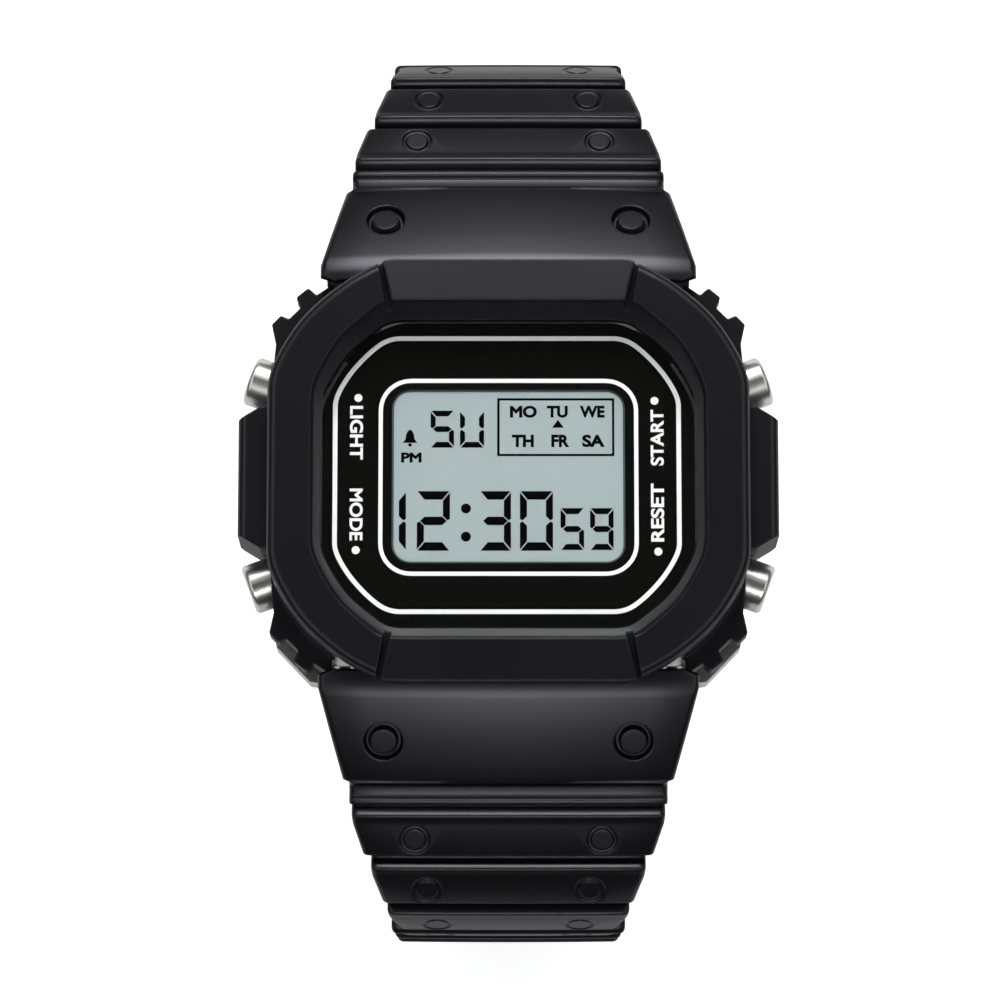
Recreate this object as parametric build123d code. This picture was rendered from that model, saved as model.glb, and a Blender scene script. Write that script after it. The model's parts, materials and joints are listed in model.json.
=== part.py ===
from build123d import *
from math import cos, radians, sin
import os

# A digital wristwatch, dial up: +Z leaves the dial, +Y points to twelve o'clock and +X to three o'clock.
# The origin is the centre of the case back's outer face. All lengths are millimetres.

os.makedirs("parts", exist_ok=True)

# Shared clearances
overrun = 3.0
running_gap = 0.05
seat_gap = 0.04
body_gap = 0.35

# Crystal stack, seated in the pocket on top of the case body
crystal_half_width = 15.0
crystal_half_height = 12.5
crystal_gasket_wall = 0.35
film_thick = 0.15
crystal_edge_round = 0.25
window_half_width = 9.3
window_half_height = 6.92
window_round = 1.6

# Case body
case_side_wall = 2.05
case_end_wall = 1.45
case_half_width = crystal_half_width + crystal_gasket_wall + case_side_wall
case_half_height = crystal_half_height + crystal_gasket_wall + case_end_wall
case_corner_round = 4.4
case_low = 0.9
case_top = 10.6
shoulder_high = 3.4
cavity_side_wall = 3.8
cavity_end_wall = 2.4
cavity_half_width = case_half_width - cavity_side_wall
cavity_half_height = case_half_height - cavity_end_wall
cavity_round = 2.4
cavity_top = 8.9

# Bezel
bezel_side_wall = 1.65
bezel_end_wall = 2.7
bezel_top = case_top + 2.4
bezel_half_width = case_half_width + bezel_side_wall
bezel_half_height = case_half_height + bezel_end_wall
bezel_shares = [
    (1.0, 0.37), (0.955, 0.55), (0.86, 0.715), (0.735, 0.848), (0.62, 0.935), (0.53, 0.985), (0.46, 1.0),
]
bezel_edge_round = 0.7
bezel_bar_low = case_top + 0.75
bezel_skirt_low = 2.2
bezel_skirt_high = 8.7
bezel_tooth_low = 6.6
bezel_tooth_start = 11.3
bezel_roof = 0.8
tooth_round = 0.2
skirt_shares = [
    (0.995, 0.297), (0.985, 0.524), (0.975, 0.64), (0.993, 0.735), (0.955, 0.779), (0.921, 0.762),
    (0.871, 0.818), (0.891, 0.866), (0.841, 0.912), (0.806, 0.877), (0.735, 0.932), (0.735, 0.84),
]
shoulder_shares = [(0.985, 0.66), (0.975, 0.75), (0.832, 0.918), (0.735, 0.932), (0.735, 0.84)]
wing_proud = 2.45
wing_shoulder_proud = 0.7
wing_half_length = 4.65
wing_root_spread = 1.45
wing_shoulder_spread = 1.05
wing_reach = bezel_half_width + wing_proud
wing_shoulder_reach = bezel_half_width + wing_shoulder_proud
wing_shoulder_half_length = wing_half_length + wing_shoulder_spread
wing_root_half_length = wing_half_length + wing_root_spread
wing_low = 2.8
wing_high = 9.2
wing_round = 0.7
opening_lap = 0.05
opening_slope_x = 0.45
opening_slope_y = 0.95
opening_chamfer = 0.25
opening_floor_half_width = crystal_half_width - opening_lap
opening_floor_half_height = crystal_half_height - opening_lap
opening_half_width = opening_floor_half_width + opening_slope_x
opening_half_height = opening_floor_half_height + opening_slope_y
opening_shares = [(1.0, 0.40), (0.945, 0.615), (0.83, 0.81), (0.715, 0.925), (0.54, 1.0)]
bar_outer_half = 10.0
bar_inner_half = 9.1
bar_tilt_deg = 6.0
bar_groove_inner_width = 0.6
bar_groove_outer_width = 0.25
bar_groove_reach = 0.6
bar_groove_depth = 0.45

# Back plate and its screws
back_side_inset = 1.2
back_end_inset = 1.1
back_thick = case_low
back_half_width = case_half_width - back_side_inset
back_half_height = case_half_height - back_end_inset
back_round = 3.6
back_rim_wall = 0.8
back_rim_height = 0.8
back_gasket_wall = 0.4
back_gasket_height = 0.65
back_screw_inset_x = 1.5
back_screw_inset_y = 2.0
back_screw_x = back_half_width - back_screw_inset_x
back_screw_y = back_half_height - back_screw_inset_y
back_screw_head = 2.2
back_screw_head_thick = 0.5
back_screw_shank = 1.1
back_screw_length = 4.0
slot_width = 0.35
slot_depth = 0.25

# Module inside the cavity
module_room = 0.2
module_half_width = cavity_half_width - module_room
module_half_height = cavity_half_height - module_room
module_base_low = 2.0
board_low = 3.9
board_thick = 0.7
board_inset = 0.5
frame_top = 8.85
lcd_rim_x = 1.9
lcd_rim_y = 1.78
lcd_half_width = window_half_width + lcd_rim_x
lcd_half_height = window_half_height + lcd_rim_y
lcd_thick = 1.6
lcd_drop = 0.05
light_rim_x = 0.3
light_rim_y = 0.08
light_half_width = window_half_width + light_rim_x
light_half_height = window_half_height + light_rim_y
light_thick = 0.4
connector_inset = 0.75
connector_y = lcd_half_height - connector_inset
connector_wall = 1.1
connector_half_length = 9.0
chip_size = 5.0
chip_thick = 0.8
chip_x = 4.0
chip_y = -1.5
well_half_width = 8.0
well_half_height = 6.4
well_height = 1.6
battery_diameter = 16.0
battery_thick = 1.6
battery_x = -3.5
battery_step = 1.2
battery_cap_height = 0.3
clamp_half_width = 9.6
clamp_half_height = 4.5
clamp_thick = 0.2
buzzer_diameter = 15.0
buzzer_thick = 0.3
buzzer_x = 2.0
buzzer_spring_x = 8.2
spring_wire = 0.3
buzzer_spring_diameter = 1.8
buzzer_spring_turns = 4
cushion_inset = 1.3
cushion_thick = 0.65
quartz_diameter = 1.6
quartz_length = 5.0
quartz_x = 8.6
quartz_y = 6.6
module_screw_x = 11.2
module_screw_y = 9.6
module_screw_head = 1.8
module_screw_head_thick = 0.4
module_screw_shank = 0.9
module_screw_length = 4.0

# Push buttons: four, leaning out of the case sides
button_inset = 0.25
button_x = bezel_half_width - button_inset
button_y = 7.9
button_z = 5.7
button_lean_deg = 20.0
button_travel = 0.7
button_head = 4.0
button_proud = 2.0
button_sunk = 1.2
button_round = 0.35
button_stem = 1.5
button_recess_depth = 2.8
button_stem_reach = 6.9
button_clip_place = 6.1
button_clip = 2.5
button_clip_thick = 0.25
button_clip_neck = 1.1
seal_outer = 2.3
seal_place = 3.3
seal_length = 0.9
button_spring_diameter = 3.0
button_spring_turns = 3
button_names = {"light": (-1, 1), "mode": (-1, -1), "start": (1, 1), "reset": (1, -1)}
notch_inset = 2.7
notch_x = cavity_half_width - notch_inset
notch_low_y = 4.3
notch_high_y = 8.6
notch_top = 7.05
leaf_gap = 0.15
leaf_thick = 0.2
leaf_width = 2.0
leaf_height = 2.2
leaf_foot = 0.7
leaf_foot_thick = 0.2

# Lugs and spring bars
lug_reach = 4.9
pivot_y = case_half_height + lug_reach
pivot_z = 5.6
lug_inner = 9.2
lug_outer = 12.2
lug_radius = 2.3
bar_diameter = 1.8
bar_tip_diameter = 1.0
bar_tip_length = 2.4

# Strap, both halves: places along the outer surface are measured from the edge of the bezel
strap_start_gap = 0.4
strap_start_drop = 2.3
strap_start_y = bezel_half_height + strap_start_gap
strap_start_z = bezel_top - strap_start_drop
strap_slope_deg = 24.0
strap_under = 1.5
strap_under_slope_deg = 10.0
strap_nose_radius = 4.5
strap_nose_half_width = 13.4
strap_cheek_back = 2.2
strap_skin = 1.2
strap_side_round = 0.55
strap_inner_round = 0.5
block_half_width = 15.0
block_end_half_width = 13.1
block_corner_width = 1.0
block_corner_length = 0.45
block_end = 7.7
block_depth = 6.3
block_depth_start = 4.6
band_depth = 3.0
band_depth_start = 9.0
tail_depth = 2.6
lead_groove_depth = 0.9
lead_groove_start = 8.1
lead_groove_end = 9.0
lead_line_height = 0.4
lead_line_start = 9.15
lead_line_end = 9.6
lead_half_width = 12.6
rib_first = 10.4
rib_pitch = 4.55
rib_half_widths = [12.4, 10.9, 9.65, 9.4, 9.2, 9.1]
rib_panel = 3.35
rib_taper = 0.9
rib_groove_depth = 0.85
rib_wall = 0.2
rib_rise = 0.45
rib_crest = 0.12
rib_crest_width = 0.35
rib_panel_drop = 0.1
band_half_width = 9.0
band_relief = 0.25
boss_place = 4.3
boss_x = 9.85
boss_diameter = 2.15
boss_ring_diameter = 3.1
boss_ring_depth = 0.45
stud_share_x = 0.62
stud_place = 1.95
stud_diameter = 1.7
stud_ring_diameter = 2.4
stud_ring_depth = 0.22

# The two side profiles: lengths along the outer surface and the angle that each of them turns through
upper_runs = [13.8, 5.0, 6.0, 18.0, 10.0, 12.0, 2.0]
upper_turns_deg = [2.0, 7.0, 57.0, 8.0, 54.0, 3.0, 12.0]
lower_runs = [12.0, 4.5, 7.0, 20.0, 22.0, 20.0]
lower_turns_deg = [3.0, 11.0, 52.0, 8.0, 80.0, 10.0]
upper_segments = list(zip(upper_runs, upper_turns_deg))
lower_segments = list(zip(lower_runs, lower_turns_deg))
upper_length = 66.0
lower_length = 84.0
tip_length = 4.0
tip_shares = [(1.0, 1.0), (0.5, 0.9), (0.2, 0.68), (0.0, 0.4)]
hole_first = 44.0
hole_pitch = 6.0
hole_count = 6
hole_width = 3.2
hole_length = 1.9

# Buckle
buckle_knuckle = 1.8
buckle_bar_diameter = 1.6
buckle_drop = 1.5
buckle_side_gap = 0.35
buckle_arm = 1.6
buckle_depth = 2.4
buckle_length = 12.0
buckle_front = 2.0
buckle_corner = 2.0
buckle_edge_round = 0.35
prong_width = 2.4
prong_thick = 1.1
prong_ring = 1.6
prong_gap = 0.3
prong_overhang = 0.4
prong_slot_gap = 0.4

# Keeper
keeper_back = 8.0
keeper_place = upper_length - keeper_back
keeper_length = 5.0
keeper_wall = 1.3
keeper_gap = 0.35
keeper_room = 2.9
keeper_round = 1.0


def prism(sketch, low, high):
    """A flat outline carried straight up between two heights."""
    return Pos(0, 0, low) * extrude(sketch, amount=high - low, dir=(0, 0, 1))


def block(x_low, x_high, y_low, y_high, low, high):
    """A plain block between three pairs of limits."""
    size = (x_high - x_low, y_high - y_low, high - low)
    return Pos(x_low, y_low, low) * Box(*size, align=(Align.MIN, Align.MIN, Align.MIN))


def rod(diameter, low, high):
    """A round bar along the local Z axis."""
    ends = (Align.CENTER, Align.CENTER, Align.MIN)
    return Pos(0, 0, low) * Cylinder(diameter / 2, high - low, align=ends)


def tube(outer, inner, low, high):
    """A round tube along the local Z axis."""
    return rod(outer, low, high) - rod(inner, low - overrun, high + overrun)


def rounded(half_width, half_height, radius):
    """A rectangle with round corners, centred on the origin."""
    return RectangleRounded(2 * half_width, 2 * half_height, radius)


def toothed_outline(shares, half_width, half_height):
    """A closed outline with straight edges and slightly rounded corners, mirrored about both axes."""
    quarter = [(x * half_width, y * half_height) for x, y in shares]
    points = quarter + [(-x, y) for x, y in reversed(quarter)]
    points += [(-x, -y) for x, y in quarter] + [(x, -y) for x, y in reversed(quarter)]
    outline = Polygon(*points, align=None)
    return fillet(outline.vertices(), tooth_round)


def smooth_outline(shares, half_width, half_height):
    """A closed outline with straight sides and one smooth curve round each corner."""
    quarter = [(x * half_width, y * half_height) for x, y in shares]
    corner = Spline(*quarter, tangents=[(0, 1), (-1, 0)])
    right = Line((half_width, 0), quarter[0])
    top = Line(quarter[-1], (0, half_height))
    edges = right.edges() + corner.edges() + top.edges()
    edges += [edge.mirror(Plane.YZ) for edge in edges]
    edges += [edge.mirror(Plane.XZ) for edge in edges]
    return make_face(edges)


def crystal_outline(margin):
    """The eight-sided outline of the crystal, grown by a margin."""
    return smooth_outline(opening_shares, crystal_half_width + margin, crystal_half_height + margin)


def coil(diameter, wire, turns, length):
    """An open coil spring along the local Z axis, starting at height zero."""
    rise = length - wire
    helix = Helix(pitch=rise / turns, height=rise, radius=(diameter - wire) / 2)
    section = Plane(origin=helix @ 0, z_dir=helix % 0) * Circle(wire / 2)
    return Pos(0, 0, wire / 2) * sweep(section, path=helix)


def along_x(y, z):
    """A plane at a place in the side view, with its Z axis along the watch's X axis."""
    return Plane(origin=(0, y, z), x_dir=(0, 1, 0), z_dir=(1, 0, 0))


def case_blank(margin, low):
    """The outside of the case body, grown by a margin: its upper corners are cut back under the bezel."""
    outline = rounded(case_half_width + margin, case_half_height + margin, case_corner_round)
    inset = bezel_side_wall - margin
    corners = smooth_outline(bezel_shares, bezel_half_width - inset, bezel_half_height - inset)
    step = bezel_skirt_high - bezel_roof + margin
    upper = prism(outline, step, case_top) & prism(corners, step, case_top)
    return prism(outline, low, step) + upper


def button_plane(side_x, side_y):
    """The place of a button: its Z axis points out of the case along the button's stem."""
    lean = radians(button_lean_deg)
    axis = (side_x * cos(lean), side_y * sin(lean), 0)
    return Plane(origin=(side_x * button_x, side_y * button_y, button_z), x_dir=(0, 0, 1), z_dir=axis)


def button_planes():
    """The places of all four buttons."""
    return [button_plane(*sides) for sides in button_names.values()]


def corner_ends(start, low, high):
    """Two plain blocks over the four corners of the case, beyond a distance towards twelve and six."""
    end = block(-wing_reach, wing_reach, start, bezel_half_height, low, high)
    return end + mirror(end, about=Plane.XZ)


def make_wing(side):
    """The guard that stands out between the two buttons of one side."""
    inner = case_half_width
    points = [
        (inner, wing_root_half_length), (wing_shoulder_reach, wing_shoulder_half_length),
        (wing_reach, wing_half_length), (wing_reach, -wing_half_length),
        (wing_shoulder_reach, -wing_shoulder_half_length), (inner, -wing_root_half_length),
    ]
    wing = prism(Polygon(*points, align=None), wing_low, wing_high)
    wing = fillet(wing.edges().filter_by(Axis.Y).sort_by(Axis.X)[-2:], wing_round)
    return wing if side > 0 else mirror(wing, about=Plane.YZ)


def make_bezel():
    """The black cover over the case: a flat top ring, end bars, toothed corners and side guards."""
    full = smooth_outline(bezel_shares, bezel_half_width, bezel_half_height)
    top = prism(full, bezel_bar_low, bezel_top)
    top = fillet(top.faces().sort_by(Axis.Z)[-1].edges(), bezel_edge_round)
    middle = prism(full, bezel_skirt_high, bezel_bar_low)
    middle &= block(-wing_reach, wing_reach, -case_half_height, case_half_height, 0, bezel_top)
    skirt_outline = toothed_outline(skirt_shares, bezel_half_width, bezel_half_height)
    skirt = prism(skirt_outline, bezel_skirt_low, bezel_skirt_high)
    skirt -= corner_ends(bezel_tooth_start, -overrun, bezel_tooth_low)
    shell = top + middle + skirt + make_wing(1) + make_wing(-1)
    shell -= case_blank(seat_gap, -overrun)
    shell -= bezel_funnel()
    shell -= bar_panels()
    for plane in button_planes():
        shell -= plane * rod(button_head + 2 * body_gap, -button_recess_depth - overrun, overrun)
    return shell


def bezel_funnel():
    """The sloping window through the bezel, wide at the top and close round the crystal below."""
    high = smooth_outline(opening_shares, opening_half_width, opening_half_height)
    low = smooth_outline(opening_shares, opening_floor_half_width, opening_floor_half_height)
    wide = smooth_outline(
        opening_shares, opening_half_width + opening_chamfer, opening_half_height + opening_chamfer
    )
    edge = bezel_top - opening_chamfer
    slope = loft([Pos(0, 0, case_top) * low, Pos(0, 0, edge) * high], ruled=True)
    chamfered = loft([Pos(0, 0, edge) * high, Pos(0, 0, bezel_top) * wide], ruled=True)
    return slope + prism(low, 0, case_top) + chamfered + prism(wide, bezel_top, bezel_top + overrun)


def bar_panels():
    """What is cut from the bezel's top at twelve and six: a slight outward tilt and two slanted grooves."""
    reach = bezel_half_height + overrun
    depth = bezel_half_height - opening_half_height
    spread = (bar_outer_half - bar_inner_half) / depth
    far_half = bar_outer_half + spread * overrun
    panel = Polygon(
        (-bar_inner_half, 0), (bar_inner_half, 0), (far_half, depth + overrun),
        (-far_half, depth + overrun), align=None,
    )
    tilt = radians(-bar_tilt_deg)
    tilted = Plane(
        origin=(0, opening_half_height, bezel_top), x_dir=(1, 0, 0), z_dir=(0, -sin(tilt), cos(tilt))
    )
    cut = tilted * extrude(panel, amount=overrun)
    for side in (1, -1):
        line = [
            (side * bar_inner_half, opening_half_height - bar_groove_reach),
            (side * (bar_inner_half + bar_groove_inner_width), opening_half_height - bar_groove_reach),
            (side * (far_half + bar_groove_outer_width), reach), (side * far_half, reach),
        ]
        low = bezel_top - bezel_edge_round - bar_groove_depth
        cut += prism(Polygon(*line, align=None), low, bezel_top + overrun)
    return cut + mirror(cut, about=Plane.XZ)


def make_lug(side_x, side_y):
    """One lug of the case body, with the hole for the tip of the spring bar."""
    plane = along_x(side_y * pivot_y, pivot_z)
    low, high = sorted((side_x * lug_inner, side_x * lug_outer))
    eye = plane * rod(2 * lug_radius, low, high)
    y_low, y_high = sorted((side_y * (case_half_height - case_corner_round), side_y * pivot_y))
    arm = block(low, high, y_low, y_high, pivot_z - lug_radius, pivot_z + lug_radius)
    return eye + arm


def make_case_body():
    """The steel middle of the case: cavity for the module, pocket for the crystal, lugs and button bores."""
    body = case_blank(0, case_low)
    shoulders = toothed_outline(shoulder_shares, bezel_half_width, bezel_half_height)
    shoulders = prism(shoulders, case_low, shoulder_high)
    body += shoulders & corner_ends(bezel_tooth_start + seat_gap, case_low, shoulder_high)
    for side_x in (1, -1):
        for side_y in (1, -1):
            body += make_lug(side_x, side_y)
    body -= prism(rounded(cavity_half_width, cavity_half_height, cavity_round), -overrun, cavity_top)
    body -= prism(crystal_outline(crystal_gasket_wall), cavity_top, case_top + overrun)
    for side_y in (1, -1):
        body -= along_x(side_y * pivot_y, pivot_z) * rod(
            bar_tip_diameter + 2 * seat_gap, -case_half_width, case_half_width
        )
    for plane in button_planes():
        body -= plane * rod(button_head + 2 * running_gap, -button_recess_depth, overrun)
        body -= plane * rod(button_stem + 2 * running_gap, -button_stem_reach - overrun, overrun)
        body -= plane * rod(seal_outer, -seal_place - seal_length, -seal_place)
    for x, y in corner_places(back_screw_x, back_screw_y):
        body -= Pos(x, y, 0) * rod(back_screw_shank + 2 * seat_gap, 0, back_screw_length + case_low)
    return body


def corner_places(x, y):
    """Four places, mirrored about both axes."""
    return [(x, y), (-x, y), (x, -y), (-x, -y)]


def make_case_back():
    """The steel back plate with the rim that centres it in the case."""
    plate = prism(rounded(back_half_width, back_half_height, back_round), 0, back_thick)
    plate = chamfer(plate.faces().sort_by(Axis.Z)[0].edges(), slot_depth)
    rim_half_width = cavity_half_width - back_gasket_wall
    rim_half_height = cavity_half_height - back_gasket_wall
    rim = rounded(rim_half_width, rim_half_height, cavity_round - back_gasket_wall)
    bore_half_width = rim_half_width - back_rim_wall
    bore_half_height = rim_half_height - back_rim_wall
    bore = rounded(bore_half_width, bore_half_height, cavity_round - back_rim_wall)
    plate += prism(rim - bore, back_thick, back_thick + back_rim_height)
    for x, y in corner_places(back_screw_x, back_screw_y):
        plate -= Pos(x, y, 0) * rod(back_screw_head + 2 * running_gap, -overrun, back_screw_head_thick)
        plate -= Pos(x, y, 0) * rod(back_screw_shank + 2 * running_gap, -overrun, overrun)
    return plate


def slotted_screw(head, head_thick, shank, length):
    """A small slotted screw that points up: its head starts at height zero."""
    screw = rod(head, 0, head_thick) + rod(shank, head_thick, length)
    return screw - block(-head, head, -slot_width / 2, slot_width / 2, -overrun, slot_depth)


def make_back_screws():
    """The four screws of the back plate."""
    screw = slotted_screw(back_screw_head, back_screw_head_thick, back_screw_shank, back_screw_length)
    return [Pos(x, y, 0) * screw for x, y in corner_places(back_screw_x, back_screw_y)]


def make_back_gasket():
    """The rubber ring between the back plate's rim and the case."""
    outer = rounded(cavity_half_width, cavity_half_height, cavity_round)
    inner_half_width = cavity_half_width - back_gasket_wall
    inner = rounded(inner_half_width, cavity_half_height - back_gasket_wall, cavity_round - back_gasket_wall)
    return prism(outer - inner, case_low, case_low + back_gasket_height)


def make_crystal():
    """The clear crystal over the dial."""
    glass = prism(crystal_outline(0), cavity_top + film_thick, case_top)
    return chamfer(glass.faces().sort_by(Axis.Z)[-1].edges(), crystal_edge_round)


def make_crystal_gasket():
    """The ring that seals the crystal in its pocket."""
    ring = crystal_outline(crystal_gasket_wall) - crystal_outline(0)
    return prism(ring, cavity_top, case_top - crystal_edge_round)


def make_dial_film():
    """The black printed film under the crystal, with the window for the display."""
    film = crystal_outline(0) - rounded(window_half_width, window_half_height, window_round)
    return prism(film, cavity_top, cavity_top + film_thick)


def lcd_high():
    return frame_top - lcd_drop


def make_lcd_panel():
    """The liquid crystal panel: two sheets of glass, the lower one longer at the contact edges."""
    low = lcd_high() - lcd_thick
    middle = low + lcd_thick / 2
    lower = block(-lcd_half_width, lcd_half_width, -lcd_half_height, lcd_half_height, low, middle)
    upper_half = lcd_half_height - connector_wall / 2
    upper = block(-lcd_half_width, lcd_half_width, -upper_half, upper_half, middle, lcd_high())
    return lower + upper


def make_light_panel():
    """The thin sheet that lights the display from behind."""
    high = lcd_high() - lcd_thick
    return block(
        -light_half_width, light_half_width, -light_half_height, light_half_height,
        high - light_thick, high,
    )


def make_lcd_connectors():
    """The two striped rubber strips between the board and the display."""
    low = board_low + board_thick
    high = lcd_high() - lcd_thick
    strips = []
    for side in (1, -1):
        y = side * connector_y
        strips.append(block(
            -connector_half_length, connector_half_length,
            y - connector_wall / 2, y + connector_wall / 2, low, high,
        ))
    return strips


def button_notches(low, high):
    """Room in the module for the inner ends of the four buttons."""
    notch = block(notch_x, cavity_half_width + overrun, notch_low_y, notch_high_y, low, high)
    notch += mirror(notch, about=Plane.YZ)
    return notch + mirror(notch, about=Plane.XZ)


def screw_holes(low, high):
    """Holes for the module's four screws."""
    hole = rod(module_screw_shank + 2 * seat_gap, low, high)
    holes = [Pos(x, y, 0) * hole for x, y in corner_places(module_screw_x, module_screw_y)]
    return holes[0] + holes[1:]


def make_module_base():
    """The lower plastic frame of the module, which holds the battery."""
    outline = rounded(module_half_width, module_half_height, cavity_round)
    base = prism(outline, module_base_low, board_low)
    battery_bore = battery_diameter + 2 * body_gap
    base -= Pos(battery_x, 0, 0) * rod(battery_bore, 0, board_low + overrun)
    base -= Pos(buzzer_spring_x, 0, 0) * rod(
        buzzer_spring_diameter + 2 * body_gap, 0, board_low + overrun
    )
    reach_x = quartz_length / 2 + body_gap
    reach_y = quartz_diameter / 2 + body_gap
    base -= block(
        quartz_x - reach_x, quartz_x + reach_x, quartz_y - reach_y, quartz_y + reach_y,
        board_low - quartz_diameter, board_low + overrun,
    )
    return base - screw_holes(0, board_low + overrun)


def make_circuit_board():
    """The circuit board between the two plastic frames."""
    outline = rounded(module_half_width - board_inset, module_half_height - board_inset, cavity_round)
    board = prism(outline, board_low, board_low + board_thick)
    board -= button_notches(0, bezel_top)
    return board - screw_holes(0, bezel_top)


def make_module_frame():
    """The upper plastic frame, which holds the display and its connectors over the board."""
    low = board_low + board_thick
    outline = rounded(module_half_width, module_half_height, cavity_round)
    frame = prism(outline, low, frame_top)
    frame -= block(
        -well_half_width, well_half_width, -well_half_height, well_half_height, 0, low + well_height
    )
    lcd_low = lcd_high() - lcd_thick
    gap = seat_gap
    frame -= block(
        -lcd_half_width - gap, lcd_half_width + gap, -lcd_half_height - gap, lcd_half_height + gap,
        lcd_low, bezel_top,
    )
    frame -= block(
        -light_half_width - gap, light_half_width + gap, -light_half_height - gap,
        light_half_height + gap, lcd_low - light_thick, bezel_top,
    )
    for side in (1, -1):
        y = side * connector_y
        reach = connector_wall / 2 + gap
        frame -= block(
            -connector_half_length - gap, connector_half_length + gap, y - reach, y + reach, 0, bezel_top
        )
    frame -= button_notches(0, notch_top)
    foot = notch_x - leaf_foot - leaf_gap
    shelf = block(foot, notch_x + overrun, notch_low_y, notch_high_y, 0, low + leaf_foot_thick + leaf_gap)
    shelf += mirror(shelf, about=Plane.YZ)
    frame -= shelf + mirror(shelf, about=Plane.XZ)
    return frame - screw_holes(0, board_low + module_screw_length)


def make_chip():
    """The clock chip on the board."""
    low = board_low + board_thick
    half = chip_size / 2
    return block(chip_x - half, chip_x + half, chip_y - half, chip_y + half, low, low + chip_thick)


def make_quartz_can():
    """The metal can of the quartz crystal, under the board."""
    axis = Plane(origin=(quartz_x, quartz_y, board_low - quartz_diameter / 2), z_dir=(1, 0, 0))
    return axis * rod(quartz_diameter, -quartz_length / 2, quartz_length / 2)


def make_battery():
    """The coin cell: a can with a slightly smaller cap."""
    low = module_base_low
    can = rod(battery_diameter, low, low + battery_thick - battery_cap_height)
    cap = rod(battery_diameter - 2 * battery_step, low, low + battery_thick)
    return Pos(battery_x, 0, 0) * (can + cap)


def make_battery_clamp():
    """The steel strap that holds the battery in the module."""
    strap = rounded(clamp_half_width, clamp_half_height, cavity_round)
    window = rounded(clamp_half_width / 3, clamp_half_height / 2, cavity_round / 2)
    return Pos(battery_x, 0, 0) * prism(strap - window, module_base_low - clamp_thick, module_base_low)


def make_buzzer_disc():
    """The alarm's sounder, a thin disc glued inside the back plate."""
    return Pos(buzzer_x, 0, 0) * rod(buzzer_diameter, back_thick, back_thick + buzzer_thick)


def make_buzzer_spring():
    """The small coil that carries the alarm signal from the board to the sounder."""
    low = back_thick + buzzer_thick
    spring = coil(buzzer_spring_diameter, spring_wire, buzzer_spring_turns, board_low - low)
    return Pos(buzzer_spring_x, 0, low) * spring


def make_back_cushion():
    """The rubber sheet between the back plate and the module, open round the sounder."""
    half_width = cavity_half_width - cushion_inset
    sheet = rounded(half_width, cavity_half_height - cushion_inset, cavity_round)
    hole = Pos(buzzer_x, 0) * Circle(buzzer_diameter / 2 + body_gap)
    return prism(sheet - hole, back_thick, back_thick + cushion_thick)


def make_module_screws():
    """The four screws that hold the module's frames together."""
    screw = slotted_screw(module_screw_head, module_screw_head_thick, module_screw_shank, module_screw_length)
    low = module_base_low - module_screw_head_thick
    return [Pos(x, y, low) * screw for x, y in corner_places(module_screw_x, module_screw_y)]


def make_contact_springs():
    """Four steel leaves on the board, each just inside the end of a button's stem."""
    lean = radians(button_lean_deg)
    pressed = button_stem_reach + button_travel
    tip_x = button_x - pressed * cos(lean) - button_stem / 2 * sin(lean)
    tip_y = button_y - pressed * sin(lean)
    high_x = tip_x - leaf_gap
    low = board_low + board_thick
    leaves = []
    for side_x, side_y in button_names.values():
        blade = block(
            high_x - leaf_thick, high_x, tip_y - leaf_width / 2, tip_y + leaf_width / 2,
            low, low + leaf_height,
        )
        foot = block(
            notch_x - leaf_foot, high_x, tip_y - leaf_width / 2, tip_y + leaf_width / 2,
            low, low + leaf_foot_thick,
        )
        leaf = blade + foot
        if side_x < 0:
            leaf = mirror(leaf, about=Plane.YZ)
        if side_y < 0:
            leaf = mirror(leaf, about=Plane.XZ)
        leaves.append(leaf)
    return leaves


def make_button(side_x, side_y):
    """A push button: the chromed head and its stem, with a groove for the clip."""
    head = rod(button_head, -button_sunk, button_proud)
    head = fillet(head.faces().sort_by(Axis.Z)[-1].edges(), button_round)
    stem = rod(button_stem, -button_stem_reach, -button_sunk)
    groove_high = -button_clip_place
    stem -= tube(button_stem + overrun, button_clip_neck, groove_high - button_clip_thick, groove_high)
    return button_plane(side_x, side_y) * (head + stem)


def make_button_clip(side_x, side_y):
    """The open clip that keeps a button in the case."""
    high = -button_clip_place
    low = high - button_clip_thick
    clip = tube(button_clip, button_clip_neck, low, high)
    clip -= block(-button_clip_neck / 2, button_clip_neck / 2, 0, button_clip, low - overrun, high + overrun)
    return button_plane(side_x, side_y) * clip


def make_button_spring(side_x, side_y):
    """The return spring under a button's head."""
    length = button_recess_depth - button_sunk
    spring = coil(button_spring_diameter, spring_wire, button_spring_turns, length)
    return button_plane(side_x, side_y) * (Pos(0, 0, -button_recess_depth) * spring)


def make_button_seals():
    """The four rubber rings in the case that the buttons' stems slide through."""
    ring = tube(seal_outer, button_stem + 2 * running_gap, -seal_place - seal_length, -seal_place)
    return [plane * ring for plane in button_planes()]


def make_spring_bar(side):
    """The bar that holds a strap half between the lugs: a tube with two sprung tips."""
    half = lug_inner - body_gap / 2
    bar = rod(bar_diameter, -half, half)
    bar += rod(bar_tip_diameter, -half - bar_tip_length, half + bar_tip_length)
    return along_x(side * pivot_y, pivot_z) * bar


def strap_place(segments, place):
    """The height, depth and slope of a strap half's outer surface at a distance from the bezel's edge."""
    y, z, slope = strap_start_y, strap_start_z, radians(strap_slope_deg)
    if place < 0:
        under = radians(strap_under_slope_deg)
        return y + place * cos(under), z - place * sin(under), slope
    left = place
    for length, turn_deg in segments:
        run = min(left, length)
        rate = radians(turn_deg) / length
        turned = slope + rate * run
        y += (sin(turned) - sin(slope)) / rate
        z += (cos(turned) - cos(slope)) / rate
        slope = turned
        left -= run
        if left <= 0:
            break
    return y + left * cos(slope), z - left * sin(slope), slope


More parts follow.
